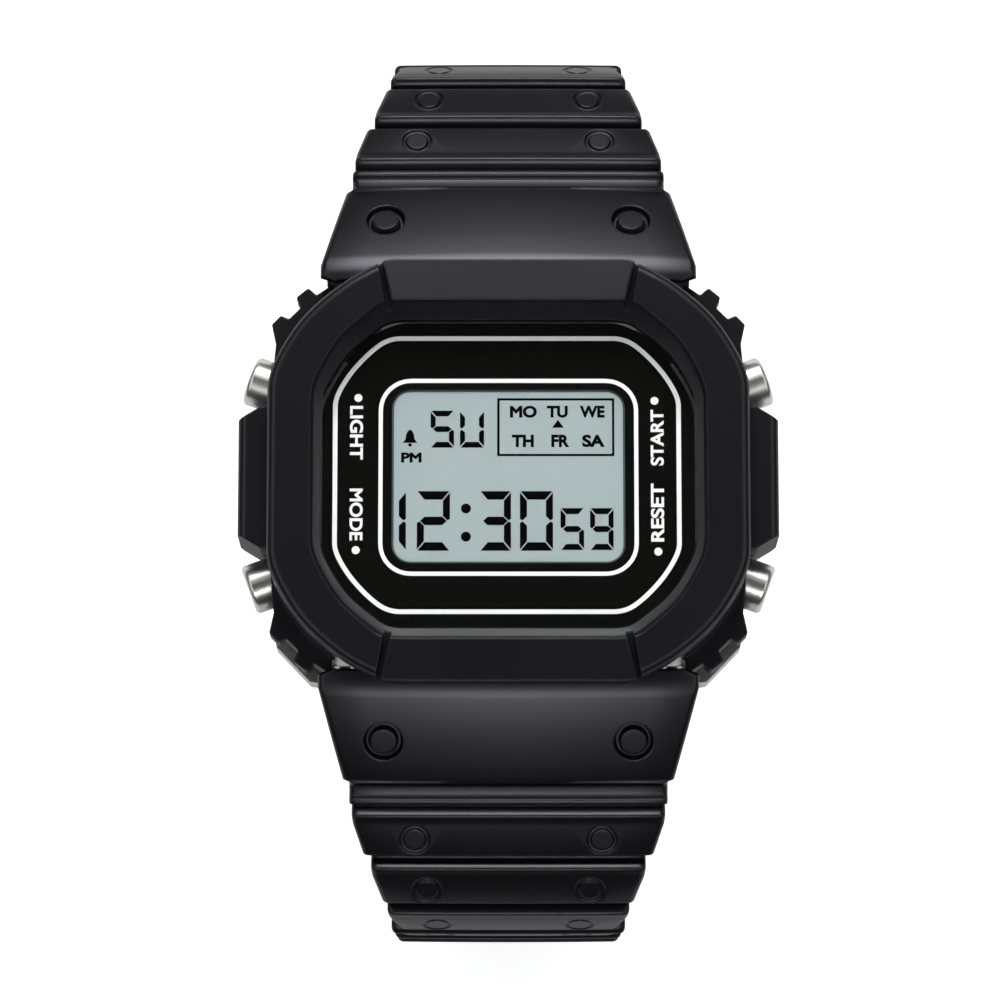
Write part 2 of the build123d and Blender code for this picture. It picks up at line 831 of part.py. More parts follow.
def strap_section_plane(segments, place):
    """A plane across the strap: its Y axis points out of the outer surface."""
    y, z, slope = strap_place(segments, place)
    return Plane(origin=(0, y, z), x_dir=(1, 0, 0), z_dir=(0, -cos(slope), sin(slope)))


def strap_face_plane(segments, place):
    """A plane that lies on the strap's outer surface: its Z axis points out of it."""
    y, z, slope = strap_place(segments, place)
    return Plane(origin=(0, y, z), x_dir=(1, 0, 0), z_dir=(0, sin(slope), cos(slope)))


def strap_section(segments, place, relief, half_width, depth):
    """The wire of one cross section, with its long edges broken."""
    side, inner = strap_side_round, strap_inner_round
    points = [
        (-half_width + side, relief), (half_width - side, relief), (half_width, relief - side),
        (half_width, -depth + inner), (half_width - inner, -depth), (-half_width + inner, -depth),
        (-half_width, -depth + inner), (-half_width, relief - side),
    ]
    plane = strap_section_plane(segments, place)
    return Wire.make_polygon([plane.from_local_coords((x, y, 0)) for x, y in points], close=True)


def depth_at(place):
    """Thickness of the strap below its outer surface: deep round the spring bar, then thin."""
    if place <= block_depth_start:
        return block_depth
    if place >= band_depth_start:
        return band_depth
    share = (place - block_depth_start) / (band_depth_start - block_depth_start)
    return block_depth + share * (band_depth - block_depth)


def head_stations():
    """Stations of the smooth end block and of the groove and thin line that follow it."""
    rows = [(-strap_under, 0, block_half_width - block_corner_width)]
    rows += [(block_corner_length - strap_under, 0, block_half_width), (0, 0, block_half_width)]
    rows += [(block_depth_start, 0, block_end_half_width + (block_half_width - block_end_half_width) / 3)]
    rows += [(block_end, 0, block_end_half_width)]
    rows += [(lead_groove_start, -lead_groove_depth, lead_half_width)]
    rows += [(lead_groove_end, -lead_groove_depth, lead_half_width)]
    rows += [(lead_line_start, lead_line_height - lead_groove_depth, lead_half_width)]
    rows += [(lead_line_end, lead_line_height - lead_groove_depth, lead_half_width)]
    return [row + (depth_at(row[0]),) for row in rows]


def rib_stations():
    """Stations of the ribs: each rises to a crest, runs on as a panel and ends in a groove."""
    rows = []
    for number, half_width in enumerate(rib_half_widths):
        crest = rib_first + number * rib_pitch
        narrow = half_width - rib_taper
        if number == len(rib_half_widths) - 1:
            narrow = band_half_width
        if number > 0:
            rows.append((crest - rib_rise - rib_wall, -rib_groove_depth, half_width))
        rows.append((crest - rib_rise / 2, -rib_crest, half_width))
        rows.append((crest, rib_crest, half_width))
        rows.append((crest + rib_crest_width, 0, half_width - rib_crest))
        rows.append((crest + rib_panel, -rib_panel_drop, narrow))
        if number < len(rib_half_widths) - 1:
            rows.append((crest + rib_panel + rib_wall, -rib_groove_depth, narrow))
    return [row + (depth_at(row[0]),) for row in rows]


def band_stations(length, tapered):
    """Stations of the plain band after the ribs, ending square or in a rounded tip."""
    start = rib_first + (len(rib_half_widths) - 1) * rib_pitch + rib_panel
    step = rib_pitch / 2
    end = length - tip_length if tapered else length
    count = int((end - start - rib_wall) / step)
    places = [start + rib_wall + number * (end - start - rib_wall) / count for number in range(count + 1)]
    rows = [(place, -band_relief, band_half_width, tail_depth) for place in places]
    if tapered:
        rows += [
            (length - back * tip_length, -band_relief, share * band_half_width, tail_depth)
            for back, share in tip_shares[1:]
        ]
    return rows


def strap_blank(segments, length, tapered):
    """The strap half before anything is cut from it."""
    rows = head_stations() + rib_stations() + band_stations(length, tapered)
    sections = [strap_section(segments, *row) for row in rows]
    return Solid.make_loft(sections, ruled=True)


def pivot_plane():
    """The spring bar's axis as a plane: X runs along the strap, Y out of it, Z along the bar."""
    slope = radians(strap_slope_deg)
    return Plane(origin=(0, pivot_y, pivot_z), x_dir=(0, cos(slope), -sin(slope)), z_dir=(1, 0, 0))


def pivot_height():
    """Distance from the spring bar's axis out to the strap's outer surface."""
    slope = radians(strap_slope_deg)
    return (strap_start_y - pivot_y) * sin(slope) + (strap_start_z - pivot_z) * cos(slope)


def strap_head_cuts():
    """What is cut from the end block: its nose, the lug slots and the bore for the spring bar."""
    skin = pivot_height() - strap_skin
    reach = 2 * strap_nose_radius
    wide = 2 * block_half_width
    local = Box(reach, reach, wide, align=(Align.MAX, Align.MAX, Align.CENTER))
    nose = Pos(0, skin, 0) * local - rod(2 * strap_nose_radius, -wide, wide)
    cheek = Box(reach, reach, wide, align=(Align.MAX, Align.MAX, Align.MIN))
    cheeks = [
        Pos(-strap_cheek_back, skin, strap_nose_half_width) * cheek,
        Pos(-strap_cheek_back, skin, -strap_nose_half_width - wide) * cheek,
    ]
    slot_radius = lug_radius + body_gap
    slots = []
    for side in (1, -1):
        low, high = sorted((side * (lug_inner - body_gap), side * (lug_outer + body_gap)))
        slot = Pos(slot_radius, skin, low) * Box(
            reach, reach, high - low, align=(Align.MAX, Align.MAX, Align.MIN)
        )
        slots.append(slot)
    bore = rod(bar_diameter + 2 * running_gap, -lug_outer, lug_outer)
    return pivot_plane() * (nose + cheeks + slots + bore)


def ring_groove(segments, place, x, inner, outer, depth, relief):
    """A round groove in the outer surface that leaves a flat boss standing in its middle."""
    groove = tube(outer, inner, relief - depth, relief + overrun)
    return strap_face_plane(segments, place) * (Pos(x, 0, 0) * groove)


def strap_marks(segments):
    """Ring grooves: a large pair on the end block and a small pair on each rib."""
    cuts = []
    for side in (1, -1):
        cuts.append(ring_groove(
            segments, boss_place, side * boss_x, boss_diameter, boss_ring_diameter, boss_ring_depth, 0
        ))
        for number, half_width in enumerate(rib_half_widths):
            place = rib_first + number * rib_pitch + stud_place
            x = side * stud_share_x * (half_width - rib_taper / 2)
            cuts.append(ring_groove(
                segments, place, x, stud_diameter, stud_ring_diameter, stud_ring_depth, 0
            ))
    return cuts


def make_strap_lower():
    """The long strap half at six o'clock, with the row of adjustment holes."""
    strap = strap_blank(lower_segments, lower_length, True)
    strap -= [strap_head_cuts()] + strap_marks(lower_segments)
    hole = Box(hole_width, hole_length, 4 * tail_depth)
    places = [hole_first + number * hole_pitch for number in range(hole_count)]
    strap -= [strap_face_plane(lower_segments, place) * hole for place in places]
    return mirror(strap, about=Plane.XZ)


def buckle_plane():
    """The buckle bar's axis: X runs on along the strap, Y out of it, Z along the bar."""
    y, z, slope = strap_place(upper_segments, upper_length)
    y -= buckle_drop * sin(slope)
    z -= buckle_drop * cos(slope)
    return Plane(origin=(0, y, z), x_dir=(0, cos(slope), -sin(slope)), z_dir=(1, 0, 0))


def make_strap_upper():
    """The short strap half at twelve o'clock, forked at its end round the buckle's bar."""
    strap = strap_blank(upper_segments, upper_length, False)
    strap -= [strap_head_cuts()] + strap_marks(upper_segments)
    knuckle = rod(2 * buckle_knuckle, -band_half_width, band_half_width)
    bore = rod(buckle_bar_diameter + 2 * running_gap, -2 * band_half_width, 2 * band_half_width)
    slot_half = prong_width / 2 + prong_slot_gap
    reach = prong_ring + 2 * body_gap
    slot = Box(4 * reach, 4 * reach, 2 * slot_half, align=(Align.CENTER, Align.CENTER, Align.CENTER))
    slot = Pos(reach, 0, 0) * slot
    return strap + buckle_plane() * knuckle - buckle_plane() * bore - buckle_plane() * slot


def make_buckle_frame():
    """The steel frame of the buckle, turning on the bar through the strap's end."""
    inner = band_half_width + buckle_side_gap
    outer = inner + buckle_arm
    back = buckle_knuckle
    plan = Pos((buckle_length - back) / 2, 0) * RectangleRounded(
        buckle_length + back, 2 * outer, buckle_corner - buckle_edge_round
    )
    window_end = buckle_length - buckle_front
    reach = window_end + back + overrun
    window = Pos(window_end - reach / 2, 0) * RectangleRounded(reach, 2 * inner, buckle_corner / 2)
    frame = extrude(plan - window, amount=buckle_depth / 2, both=True)
    frame = Rot(90, 0, 0) * frame
    pin_hole = rod(buckle_bar_diameter, -outer + buckle_arm / 3, outer - buckle_arm / 3)
    return buckle_plane() * (frame - pin_hole)


def make_buckle_bar():
    """The bar that the buckle and its prong turn on, pressed into the frame's arms."""
    reach = band_half_width + buckle_side_gap + buckle_arm * 2 / 3
    return buckle_plane() * rod(buckle_bar_diameter, -reach, reach)


def make_prong():
    """The flat prong, bent up over the front of the frame."""
    top = buckle_depth / 2 + prong_gap
    tip = buckle_length + prong_overhang
    bend = buckle_length - 2 * buckle_front
    side = [
        (0, -prong_thick / 2), (bend, top - prong_thick / 2), (tip, top), (tip, top + prong_thick * 2 / 3),
        (bend, top + prong_thick), (0, prong_thick / 2),
    ]
    blade = extrude(Polygon(*side, align=None), amount=prong_width / 2, both=True)
    ring = rod(2 * prong_ring, -prong_width / 2, prong_width / 2)
    bore = rod(buckle_bar_diameter + 2 * running_gap, -prong_width, prong_width)
    return buckle_plane() * (blade + ring - bore)


def make_keeper():
    """The loose loop on the short half that tucks in the end of the long one."""
    half_width = band_half_width + keeper_gap
    low = -tail_depth - keeper_gap - keeper_room
    high = -band_relief + keeper_gap
    middle = (low + high) / 2
    bore = Pos(0, middle) * RectangleRounded(2 * half_width, high - low, keeper_round / 2)
    outer = Pos(0, middle) * RectangleRounded(
        2 * half_width + 2 * keeper_wall, high - low + 2 * keeper_wall, keeper_round
    )
    loop = extrude(outer - bore, amount=keeper_length / 2, both=True)
    return strap_section_plane(upper_segments, keeper_place) * loop


def save(name, shape):
    """Writes one node."""
    if isinstance(shape, list):
        shape = Compound(children=shape)
    export_step(shape, f"parts/{name}.step")


def build_all():
    """Builds every node of the watch."""
    save("bezel", make_bezel())
    save("case_body", make_case_body())
    save("case_back", make_case_back())
    save("case_back_screws", make_back_screws())
    save("case_back_gasket", make_back_gasket())
    save("crystal", make_crystal())
    save("crystal_gasket", make_crystal_gasket())
    save("dial_film", make_dial_film())
    save("lcd_panel", make_lcd_panel())
    save("light_panel", make_light_panel())
    save("lcd_connectors", make_lcd_connectors())
    save("module_frame", make_module_frame())
    save("module_base", make_module_base())
    save("module_screws", make_module_screws())
    save("circuit_board", make_circuit_board())
    save("clock_chip", make_chip())
    save("quartz_can", make_quartz_can())
    save("battery", make_battery())
    save("battery_clamp", make_battery_clamp())
    save("back_cushion", make_back_cushion())
    save("buzzer_disc", make_buzzer_disc())
    save("buzzer_spring", make_buzzer_spring())
    save("contact_springs", make_contact_springs())
    save("button_seals", make_button_seals())
    for name, sides in button_names.items():
        save(f"button_{name}", make_button(*sides))
        save(f"button_clip_{name}", make_button_clip(*sides))
        save(f"button_spring_{name}", make_button_spring(*sides))
    save("spring_bar_upper", make_spring_bar(1))
    save("spring_bar_lower", make_spring_bar(-1))
    save("strap_upper", make_strap_upper())
    save("strap_lower", make_strap_lower())
    save("buckle_frame", make_buckle_frame())
    save("buckle_bar", make_buckle_bar())
    save("prong", make_prong())
    save("keeper", make_keeper())


build_all()
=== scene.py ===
# %% [markdown]
# # A digital wristwatch, dressed for its portrait
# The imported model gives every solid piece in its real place: the case, the module, the strap halves,
# the buckle. This lesson adds what a photograph shows on top of that: satin resin, polished steel,
# the printed face, the liquid crystal figures, and strap halves with their real soft edges.
# Lengths are written in millimetres and turned into metres by one factor, so they can be compared
# with a ruler on the real watch.

# %% Load the frame and keep its box
import bmesh
import bpy
import json
from math import acos, ceil, cos, hypot, pi, radians, sin, tau
from mathutils import Matrix, Vector


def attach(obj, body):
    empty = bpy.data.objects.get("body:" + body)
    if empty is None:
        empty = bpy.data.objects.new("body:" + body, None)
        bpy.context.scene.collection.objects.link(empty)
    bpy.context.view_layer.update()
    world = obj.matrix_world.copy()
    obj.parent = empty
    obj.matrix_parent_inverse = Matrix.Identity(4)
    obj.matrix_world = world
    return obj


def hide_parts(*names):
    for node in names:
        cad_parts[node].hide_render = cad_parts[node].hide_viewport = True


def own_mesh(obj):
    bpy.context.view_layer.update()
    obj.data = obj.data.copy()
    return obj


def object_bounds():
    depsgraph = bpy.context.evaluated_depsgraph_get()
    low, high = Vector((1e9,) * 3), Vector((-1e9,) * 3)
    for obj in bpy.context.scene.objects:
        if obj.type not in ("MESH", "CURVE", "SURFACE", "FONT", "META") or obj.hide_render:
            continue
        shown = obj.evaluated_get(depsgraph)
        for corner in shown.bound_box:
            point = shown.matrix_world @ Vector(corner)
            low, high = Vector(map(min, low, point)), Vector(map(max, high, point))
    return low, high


MM = 0.001
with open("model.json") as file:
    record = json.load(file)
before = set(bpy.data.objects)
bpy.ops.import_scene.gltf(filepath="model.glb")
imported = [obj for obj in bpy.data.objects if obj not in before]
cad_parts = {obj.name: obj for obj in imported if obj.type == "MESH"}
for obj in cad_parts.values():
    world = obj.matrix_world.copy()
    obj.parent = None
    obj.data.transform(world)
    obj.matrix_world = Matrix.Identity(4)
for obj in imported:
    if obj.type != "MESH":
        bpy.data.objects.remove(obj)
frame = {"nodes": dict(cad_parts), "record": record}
nodes = frame["nodes"]
cad_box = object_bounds()
print("pieces in the frame:", len(nodes))


def add_object(name, data):
    """A new object of the scene."""
    added = bpy.data.objects.new(name, data)
    bpy.context.scene.collection.objects.link(added)
    return added


# %% [markdown]
# ## The camera
# The watch is seen from almost straight above, eleven degrees towards six o'clock, and from arm's
# length. A long lens keeps the strap from flaring. The camera is slid sideways rather than turned,
# so the watch sits a little right of the middle and a little high, as in the photograph.

# %% The camera
VIEW_ELEVATION = radians(79)
VIEW_DISTANCE = 400 * MM
FIELD_WIDTH = 79.2 * MM
SENSOR_WIDTH = 36.0
CLIP_NEAR, CLIP_FAR = 0.01, 10
AIM = Vector((-0.67, -2.02, 9.9)) * MM


def make_camera():
    """A long lens that looks down on the dial from the six o'clock side."""
    back = Vector((0, -cos(VIEW_ELEVATION), sin(VIEW_ELEVATION)))
    data = bpy.data.cameras.new("camera")
    data.sensor_width = SENSOR_WIDTH
    data.lens = SENSOR_WIDTH * VIEW_DISTANCE / FIELD_WIDTH
    data.clip_start, data.clip_end = CLIP_NEAR, CLIP_FAR
    camera = add_object("camera", data)
    camera.location = AIM + back * VIEW_DISTANCE
    camera.rotation_euler = (pi / 2 - VIEW_ELEVATION, 0, 0)
    bpy.context.scene.camera = camera
    print("lens", round(data.lens, 1), "mm")


make_camera()


# %% [markdown]
# ## The studio
# Black resin is drawn almost wholly by what it mirrors, so the lamps matter more than the colour.
# A small soft box past twelve o'clock and one past six light the sloping ends of the strap, and a
# long one at each side gives the general light. The flat face mirrors only the dim ceiling and
# stays nearly black. The floor is pale paper with a glow of its own, so it shows white to the
# camera but still takes a soft shadow. What the resin mirrors of that glow is much weaker.

# %% Floor, sky and lamps
FLOOR_SIZE = 3.0
PAPER_TONE = (0.86, 0.86, 0.87, 1)
PAPER_ROUGHNESS = 0.9
# The glow of the paper as the camera sees it, and as shiny surfaces mirror it.
FLOOR_GLOW = 0.70
FLOOR_MIRRORED = 0.10
# The strength of the sky overhead and at the walls, and the heights between which it fades.
SKY_TOP = 0.03
SKY_SIDE = 0.06
SKY_FADE = (0.15, 0.9)
# Degrees off the vertical, degrees about the vertical, metres away, metres in size, watts.
LAMPS = {
    "softbox_twelve": {"angle": 48, "turn": 0, "distance": 0.55, "size": (0.22, 0.2), "power": 1.65},
    "softbox_six": {"angle": -35, "turn": 0, "distance": 0.55, "size": (0.17, 0.12), "power": 0.52},
    "softbox_right": {"angle": 36, "turn": 90, "distance": 0.6, "size": (0.9, 0.34), "power": 0.85},
    "softbox_left": {"angle": -36, "turn": 90, "distance": 0.6, "size": (0.9, 0.34), "power": 0.85},
}


def add_node(tree, kind, **inputs):
    """One shader node with its plain inputs set."""
    node = tree.nodes.new(kind)
    for name, value in inputs.items():
        node.inputs[name.replace("_", " ")].default_value = value
    return node


def math_node(tree, operation, first, second):
    """A Math node fed by sockets or plain numbers."""
    node = tree.nodes.new("ShaderNodeMath")
    node.operation = operation
    for slot, value in zip(node.inputs, (first, second)):
        if isinstance(value, (int, float)):
            slot.default_value = value
        else:
            tree.links.new(value, slot)
    return node.outputs[0]


def make_sky():
    """A plain studio: brighter walls, a dim ceiling, and white wherever the camera sees past the floor."""
    world = bpy.data.worlds.new("studio")
    bpy.context.scene.world = world
    world.use_nodes = True
    tree = world.node_tree
    tree.nodes.clear()
    place = tree.nodes.new("ShaderNodeTexCoord")
    split = tree.nodes.new("ShaderNodeSeparateXYZ")
    heights = {"From_Min": SKY_FADE[0], "From_Max": SKY_FADE[1]}
    fade = add_node(tree, "ShaderNodeMapRange", **heights, To_Min=SKY_SIDE, To_Max=SKY_TOP)
    path = tree.nodes.new("ShaderNodeLightPath")
    shown = tree.nodes.new("ShaderNodeMix")
    shown.inputs["B"].default_value = 1.0
    sky = tree.nodes.new("ShaderNodeBackground")
    out = tree.nodes.new("ShaderNodeOutputWorld")
    tree.links.new(place.outputs["Generated"], split.inputs["Vector"])
    tree.links.new(split.outputs["Z"], fade.inputs["Value"])
    tree.links.new(path.outputs["Is Camera Ray"], shown.inputs["Factor"])
    tree.links.new(fade.outputs["Result"], shown.inputs["A"])
    tree.links.new(shown.outputs["Result"], sky.inputs["Strength"])
    tree.links.new(sky.outputs["Background"], out.inputs["Surface"])


def make_floor(height):
    """A wide pale floor that reads as white paper from above and is clear from below."""
    material = bpy.data.materials.new("paper")
    material.use_nodes = True
    tree = material.node_tree
    shader = tree.nodes["Principled BSDF"]
    shader.inputs["Base Color"].default_value = PAPER_TONE
    shader.inputs["Roughness"].default_value = PAPER_ROUGHNESS
    shader.inputs["Emission Color"].default_value = (1, 1, 1, 1)
    path = tree.nodes.new("ShaderNodeLightPath")
    seen = math_node(tree, "MULTIPLY", path.outputs["Is Camera Ray"], FLOOR_GLOW)
    mirrored = math_node(tree, "MULTIPLY", path.outputs["Is Glossy Ray"], FLOOR_MIRRORED)
    tree.links.new(math_node(tree, "ADD", seen, mirrored), shader.inputs["Emission Strength"])
    side = tree.nodes.new("ShaderNodeNewGeometry")
    clear = tree.nodes.new("ShaderNodeBsdfTransparent")
    either = tree.nodes.new("ShaderNodeMixShader")
    tree.links.new(side.outputs["Backfacing"], either.inputs["Fac"])
    tree.links.new(shader.outputs["BSDF"], either.inputs[1])
    tree.links.new(clear.outputs["BSDF"], either.inputs[2])
    tree.links.new(either.outputs["Shader"], tree.nodes["Material Output"].inputs["Surface"])
    mesh = bpy.data.meshes.new("floor")
    half = FLOOR_SIZE / 2
    corners = [(-half, -half, height), (half, -half, height), (half, half, height), (-half, half, height)]
    mesh.from_pydata(corners, [], [(0, 1, 2, 3)])
    mesh.materials.append(material)
    add_object("floor", mesh)


def make_lamp(name, angle, turn, distance, size, power):
    """A soft box at an angle off the vertical, turned about the vertical, aimed at the watch."""
    data = bpy.data.lights.new(name, "AREA")
    data.shape = "RECTANGLE"
    data.size, data.size_y = size
    data.energy = power
    tilt = Matrix.Rotation(radians(-turn), 4, "Z") @ Matrix.Rotation(radians(-angle), 4, "X")
    add_object(name, data).matrix_world = tilt @ Matrix.Translation((0, 0, distance))


bpy.context.scene.view_settings.view_transform = "Standard"
make_sky()
make_floor(cad_box[0].z)
for name, lamp in LAMPS.items():
    make_lamp(name, **lamp)
print("floor at", round(cad_box[0].z / MM, 2), "mm, lamps", len(LAMPS))


# %% [markdown]
# ## Shared effects
# Moulded resin is never quite smooth: the tool leaves a fine grain, and handling leaves patches
# that shine a little more. Both depend on place alone, so one node group holds them and every
# plastic uses it with its own values. Steel has a group of its own with drawn-out scratches.
# A group puts out values only; the shader stays in each material.

# %% The grain group
EVEN_SCALE = (1, 1, 1)
SCRATCH_SCALE = (1, 14, 1)  # fourteen times finer along Y, so the scratches run along X
GRAIN_SHARE = 0.5


def new_group(name, inputs, outputs):
    """An empty shader node group with named number inputs and named outputs."""
    group = bpy.data.node_groups.new(name, "ShaderNodeTree")
    for label, value in inputs.items():
        socket = group.interface.new_socket(name=label, in_out="INPUT", socket_type="NodeSocketFloat")
        socket.default_value = value
    for label, kind in outputs.items():
        group.interface.new_socket(name=label, in_out="OUTPUT", socket_type=kind)
    enter = group.nodes.new("NodeGroupInput")
    leave = group.nodes.new("NodeGroupOutput")
    return group, enter, leave


def make_surface_group(name, scale):
    """Fine grain and slow patches. A scale that isn't even draws them out into scratches."""
    inputs = {"Grain Size": 0.25, "Patch Size": 6.0, "Roughness": 0.4, "Spread": 0.1}
    outputs = {"Height": "NodeSocketFloat", "Roughness": "NodeSocketFloat", "Patch": "NodeSocketFloat"}
    group, enter, leave = new_group(name, inputs, outputs)
    place = group.nodes.new("ShaderNodeTexCoord")
    scaled = group.nodes.new("ShaderNodeMapping")
    scaled.inputs["Scale"].default_value = scale
    group.links.new(place.outputs["Object"], scaled.inputs["Vector"])
    fine = add_node(group, "ShaderNodeTexNoise", Detail=3.0, Roughness=0.6)
    slow = add_node(group, "ShaderNodeTexNoise", Detail=4.0, Roughness=0.55)
    for noise, label in ((fine, "Grain Size"), (slow, "Patch Size")):
        per_metre = math_node(group, "DIVIDE", 1 / MM, enter.outputs[label])
        group.links.new(per_metre, noise.inputs["Scale"])
        group.links.new(scaled.outputs["Vector"], noise.inputs["Vector"])
    patch = math_node(group, "SUBTRACT", slow.outputs["Fac"], 0.5)
    grain = math_node(group, "SUBTRACT", fine.outputs["Fac"], 0.5)
    both = math_node(group, "ADD", patch, math_node(group, "MULTIPLY", grain, GRAIN_SHARE))
    varied = math_node(group, "MULTIPLY", both, enter.outputs["Spread"])
    roughness = math_node(group, "ADD", varied, enter.outputs["Roughness"])
    group.links.new(fine.outputs["Fac"], leave.inputs["Height"])
    group.links.new(roughness, leave.inputs["Roughness"])
    group.links.new(slow.outputs["Fac"], leave.inputs["Patch"])
    return group


MOULDED = make_surface_group("moulded_surface", EVEN_SCALE)
DRAWN = make_surface_group("drawn_surface", SCRATCH_SCALE)
print("shared groups:", MOULDED.name, DRAWN.name)


# %% [markdown]
# ## Finishes
# Each finish is a Principled shader. Its colour shifts a little between two close tones with the
# slow patches, its roughness comes from the group, and its fine height goes through a Bump node.
# A Bevel node under the bump rounds the light on edges that are too small to model, the way a
# moulded or tumbled edge catches a thin line of light. The bezel is also rougher where it is steep,
# so its walls stay softer than its flat top.

# %% A finish from two tones
TONE_EDGES = (0.35, 0.65)  # the first tone ends and the second begins at these patch values
STEEP_EDGES = (0.6, 0.3)   # upward part of the normal where extra roughness begins and is full
GRAIN_HEIGHT = 0.02
EDGE_SAMPLES = 6


def steeper(tree, roughness, extra):
    """Adds roughness where the surface turns away from straight up."""
    if extra == 0:
        return roughness
    facing = tree.nodes.new("ShaderNodeNewGeometry")
    split = tree.nodes.new("ShaderNodeSeparateXYZ")
    heights = {"From_Min": STEEP_EDGES[0], "From_Max": STEEP_EDGES[1]}
    rise = add_node(tree, "ShaderNodeMapRange", **heights, To_Min=0.0, To_Max=extra)
    tree.links.new(facing.outputs["True Normal"], split.inputs["Vector"])
    tree.links.new(split.outputs["Z"], rise.inputs["Value"])
    return math_node(tree, "ADD", rise.outputs["Result"], roughness)


def make_finish(name, low, high, roughness, spread=0.1, grain=0.25, patch=6.0, bump=0.1, edge=0.12,
                group=MOULDED, steep=0, **constants):
    """A Principled material between two tones, with grain, patches and softly lit edges."""
    material = bpy.data.materials.new(name)
    material.use_nodes = True
    tree = material.node_tree
    shader = tree.nodes["Principled BSDF"]
    surface = tree.nodes.new("ShaderNodeGroup")
    surface.node_tree = group
    surface.inputs["Grain Size"].default_value = grain
    surface.inputs["Patch Size"].default_value = patch
    surface.inputs["Roughness"].default_value = roughness
    surface.inputs["Spread"].default_value = spread
    tones = tree.nodes.new("ShaderNodeValToRGB")
    for stop, position, tone in zip(tones.color_ramp.elements, TONE_EDGES, (low, high)):
        stop.position = position
        stop.color = (*tone, 1)
    tree.links.new(surface.outputs["Patch"], tones.inputs["Fac"])
    tree.links.new(tones.outputs["Color"], shader.inputs["Base Color"])
    tree.links.new(steeper(tree, surface.outputs["Roughness"], steep), shader.inputs["Roughness"])
    rounded = tree.nodes.new("ShaderNodeBevel")
    rounded.samples = EDGE_SAMPLES
    rounded.inputs["Radius"].default_value = edge * MM
    relief = add_node(tree, "ShaderNodeBump", Strength=bump, Distance=GRAIN_HEIGHT * MM)
    tree.links.new(surface.outputs["Height"], relief.inputs["Height"])
    tree.links.new(rounded.outputs["Normal"], relief.inputs["Normal"])
    tree.links.new(relief.outputs["Normal"], shader.inputs["Normal"])
    for label, value in constants.items():
        shader.inputs[label.replace("_", " ")].default_value = value
    return material


FINISHES = {
    "bezel_resin": make_finish(
        "bezel_resin", (0.0044, 0.0044, 0.0049), (0.0054, 0.0054, 0.006),
        0.32, spread=0.03, bump=0.04, edge=0.2, steep=0.2, Specular_Tint=(0.92, 0.9, 1, 1),
    ),
    "strap_resin": make_finish(
        "strap_resin", (0.0022, 0.0022, 0.0026), (0.003, 0.003, 0.0035),
        0.31, spread=0.03, bump=0.04, edge=0.22, Specular_Tint=(0.92, 0.9, 1, 1),
    ),
    "case_steel": make_finish(
        "case_steel", (0.5, 0.49, 0.47), (0.6, 0.59, 0.57), 0.3, group=DRAWN, Metallic=1.0
    ),
    "back_steel": make_finish(
        "back_steel", (0.48, 0.48, 0.47), (0.58, 0.57, 0.56), 0.32, group=DRAWN, Metallic=1.0
    ),
    "button_chrome": make_finish(
        "button_chrome", (0.74, 0.74, 0.72), (0.82, 0.82, 0.8), 0.3, spread=0.05, Metallic=1.0
    ),
    "buckle_steel": make_finish(
        "buckle_steel", (0.52, 0.52, 0.51), (0.62, 0.61, 0.60), 0.28, group=DRAWN, Metallic=1.0
    ),
    "dial_print": make_finish(
        "dial_print", (0.0012, 0.0011, 0.0008), (0.0015, 0.0014, 0.001),
        0.6, edge=0.03, Specular_IOR_Level=0.035,
    ),
    "white_ink": make_finish(
        "white_ink", (0.90, 0.90, 0.90), (0.95, 0.95, 0.95), 0.6, bump=0.02, edge=0.02
    ),
    "lcd_glass": make_finish(
        "lcd_glass", (0.345, 0.415, 0.415), (0.36, 0.43, 0.43),
        0.5, patch=12.0, bump=0.01, edge=0.05, Specular_IOR_Level=0.1,
    ),
    "lcd_black": make_finish(
        "lcd_black", (0.001, 0.001, 0.0015), (0.0015, 0.0015, 0.002),
        0.5, bump=0.01, edge=0.01, Specular_IOR_Level=0.0,
    ),
    # The dark teal of the band round the window is painted shade.
    "lcd_rim": make_finish(
        "lcd_rim", (0.035, 0.065, 0.065), (0.045, 0.08, 0.08), 0.5, bump=0.01, edge=0.01
    ),
    "light_sheet": make_finish("light_sheet", (0.60, 0.66, 0.60), (0.68, 0.74, 0.68), 0.5),
    "module_plastic": make_finish("module_plastic", (0.10, 0.10, 0.11), (0.14, 0.14, 0.15), 0.5),
    "board": make_finish("board", (0.010, 0.075, 0.030), (0.018, 0.105, 0.045), 0.35),
    "chip_plastic": make_finish("chip_plastic", (0.010, 0.010, 0.011), (0.018, 0.018, 0.019), 0.55),
    "sounder_brass": make_finish(
        "sounder_brass", (0.55, 0.42, 0.17), (0.68, 0.52, 0.22), 0.3, group=DRAWN, Metallic=1.0
    ),
    "seal_rubber": make_finish("seal_rubber", (0.018, 0.018, 0.018), (0.028, 0.028, 0.028), 0.65),
}
print("finishes:", len(FINISHES))


# %% [markdown]
# The crystal is clear mineral glass. A Principled shader with full transmission bends the light as
# the real pane does. The pane is told to cast no shadow, because light that reaches the dial through
# glass is very slow to find by chance, and a clear pane blocks almost none of it.

# %% The crystal's glass
def make_glass():
    """Clear glass with plain values, which the export understands."""
    glass = bpy.data.materials.new("crystal_glass")
    glass.use_nodes = True
    shader = glass.node_tree.nodes["Principled BSDF"]
    shader.inputs["Base Color"].default_value = (0.985, 0.99, 0.99, 1)
    shader.inputs["Roughness"].default_value = 0.0
    shader.inputs["IOR"].default_value = 1.45
    shader.inputs["Transmission Weight"].default_value = 1.0
    return glass


FINISHES["crystal"] = make_glass()


# %% [markdown]
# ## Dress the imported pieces
# The record names a material slot for every node. Each node gets the finish of that slot, so the
# hidden pieces are as finished as the ones that show.

# %% Assign finishes by slot
for part in frame["record"]["subparts"]:
    mesh = nodes[part["node"]].data
    mesh.materials.clear()
    mesh.materials.append(FINISHES[part["material_slot"]])
nodes["crystal"].visible_shadow = False
